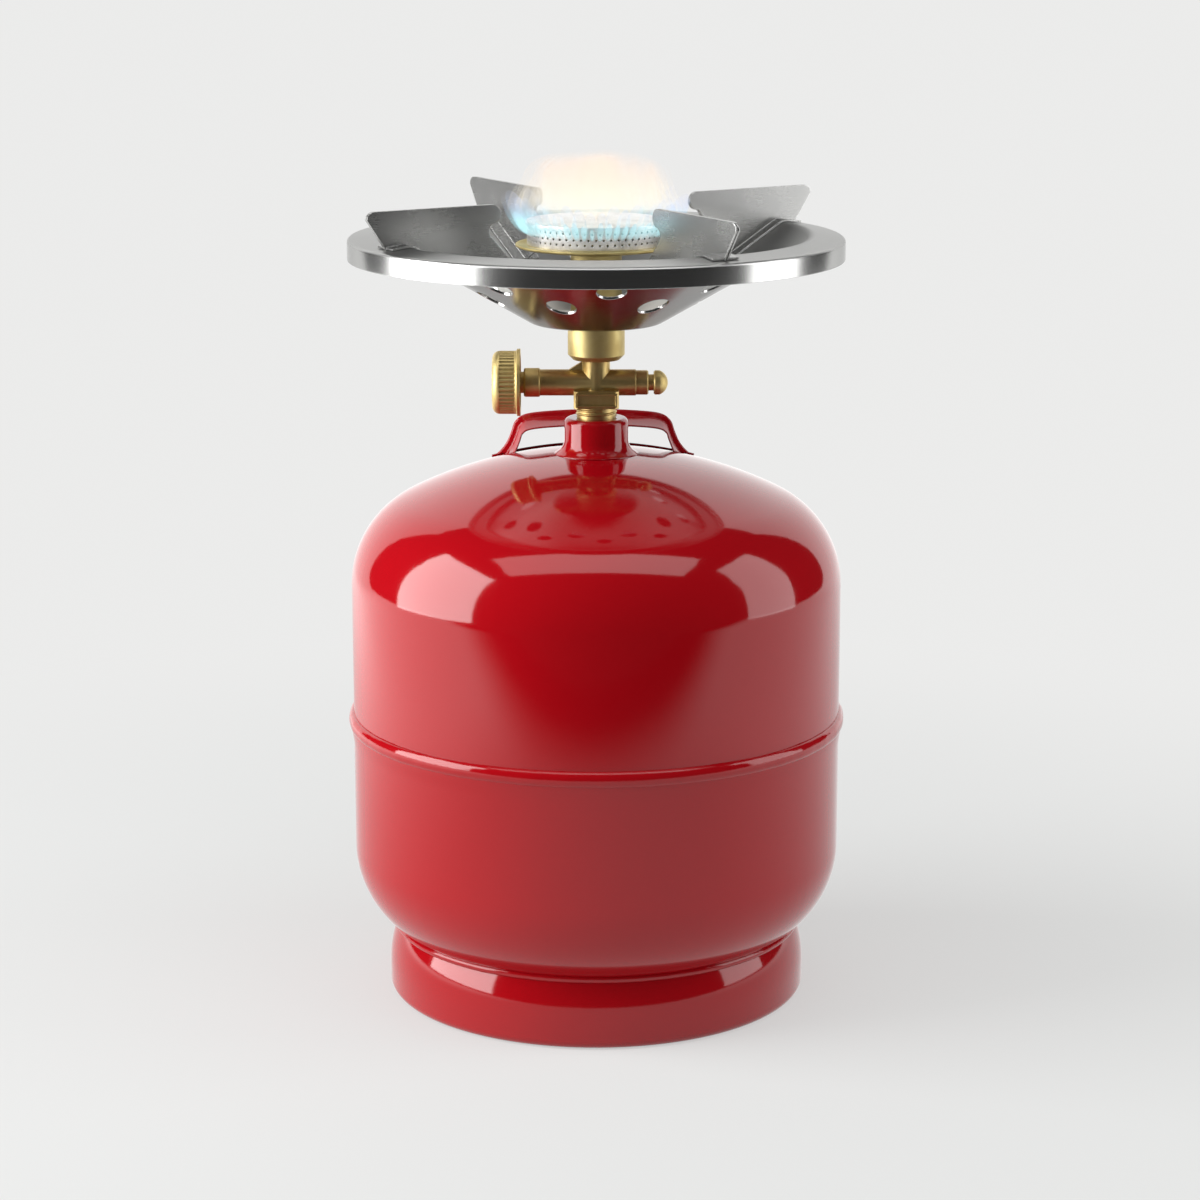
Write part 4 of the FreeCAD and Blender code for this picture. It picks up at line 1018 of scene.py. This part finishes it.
def aim_camera():
    data = bpy.data.cameras.new("camera")
    data.sensor_width = SENSOR
    data.lens = CAMERA_LENS
    data.clip_start = CAMERA_NEAR
    camera = bpy.data.objects.new("camera", data)
    camera.location = CAMERA_PLACE
    camera.rotation_euler = (math.radians(CAMERA_TILT), 0.0, 0.0)
    bpy.context.scene.collection.objects.link(camera)
    bpy.context.scene.camera = camera


# Finishes
enamel = red_enamel()
weld = weld_enamel()
tap_brass = turned_brass("turned_brass_tap", along_tap, *TAP_BRASS)
head_brass = turned_brass("turned_brass_head", along_head, *HEAD_BRASS)
body_brass = cast_brass()
dish_steel = spun_steel()
fin_steel = brushed_steel()
plain_steel = bright_steel()
head_sheet = ring_sheet()
rubber = seal_rubber()

# Bottle
for node in ("upper_shell", "lower_shell"):
    surface_of(node, enamel)
girth_weld(enamel)
foot_ring(enamel)
foot_weld(enamel)
surface_of("neck_boss", weld, sharp=50.0)
strap_handle(enamel)
handle_base(enamel)

# Tap
surface_of("valve_body", body_brass, sharp=30.0)
for node in ("gland_nut", "control_knob", "side_plug"):
    surface_of(node, tap_brass, sharp=28.0)
surface_of("knob_screw", plain_steel)
inlet_thread(body_brass)
block_border(body_brass)

# Dish and burner head
for node in ("mixer_cup", "mixer_tube", "burner_pan"):
    surface_of(node, head_brass)
surface_of("burner_cap", head_sheet)
vented_dish(dish_steel)
for quarter in ("right", "rear", "left", "front"):
    surface_of("pot_support_" + quarter, fin_steel)
perforated_ring(head_sheet)

# Pieces inside, kept as they are
for node, material in {
    "check_valve_body": body_brass,
    "check_ball": plain_steel,
    "check_spring": plain_steel,
    "inlet_seal": rubber,
    "opening_pin": tap_brass,
    "spindle": tap_brass,
    "stem_o_ring": rubber,
    "jet": head_brass,
    "dish_washer": plain_steel,
}.items():
    frame["nodes"][node].data.materials.clear()
    frame["nodes"][node].data.materials.append(material)

# Flame
glows = (
    flame_glow("flame_edge", level=0.17, colours=CREAM, begin=0.3, fade_from=0.7, fade_to=1.3),
    flame_glow("flame_body", level=0.14, colours=CREAM, begin=0.3, fade_from=0.75, fade_to=1.3),
    flame_glow("flame_core", level=0.14, colours=CREAM, begin=0.3, fade_from=0.8, fade_to=1.3),
)
for skin in range(FLAME_SKINS):
    reach = FLAME_WAIST * (1 - FLAME_NARROWING * skin / FLAME_SKINS)
    top = FLAME_TOP - skin * FLAME_STEP_DOWN
    glow = glows[skin * len(glows) // FLAME_SKINS]
    flame_layer(f"flame_skin_{skin}", reach, top, glow, FLAME_LOBES + skin)
tongue_glow = flame_glow("flame_tongue", level=0.28, colours=AZURE, begin=0.03, fade_from=0.6, fade_to=0.9)
puff_glow = flame_glow("flame_puff", level=0.14, colours=AZURE, begin=0.08, fade_from=0.65, fade_to=1.05)
flame_tongues("flame_tongues", tongue_glow, TONGUES, TONGUE_RADIUS, TONGUE_LENGTH, TONGUE_LEAN)
flame_tongues("flame_puffs", puff_glow, PUFFS, PUFF_RADIUS, PUFF_LENGTH, PUFF_LEAN)

# Studio
sweep(white_sweep())
softbox(
    "left_softbox",
    place=(-1.2, -0.28, 0.665),
    aim=(0.0, -0.28, 0.665),
    width=1.02,
    height=1.27,
    level=7.6,
)
softbox(
    "right_softbox",
    place=(1.2, -0.085, 0.665),
    aim=(0.0, -0.085, 0.665),
    width=0.63,
    height=1.27,
    level=2.9,
)
softbox(
    "overhead_box",
    place=(0.0, -0.58, 1.75),
    aim=(0.0, -0.1, 0.2),
    width=2.3,
    height=0.72,
    level=2.4,
)
room_light(level=0.22)
aim_camera()

scene = bpy.context.scene
scene.view_settings.view_transform = "Standard"
scene.cycles.transparent_max_bounces = 64
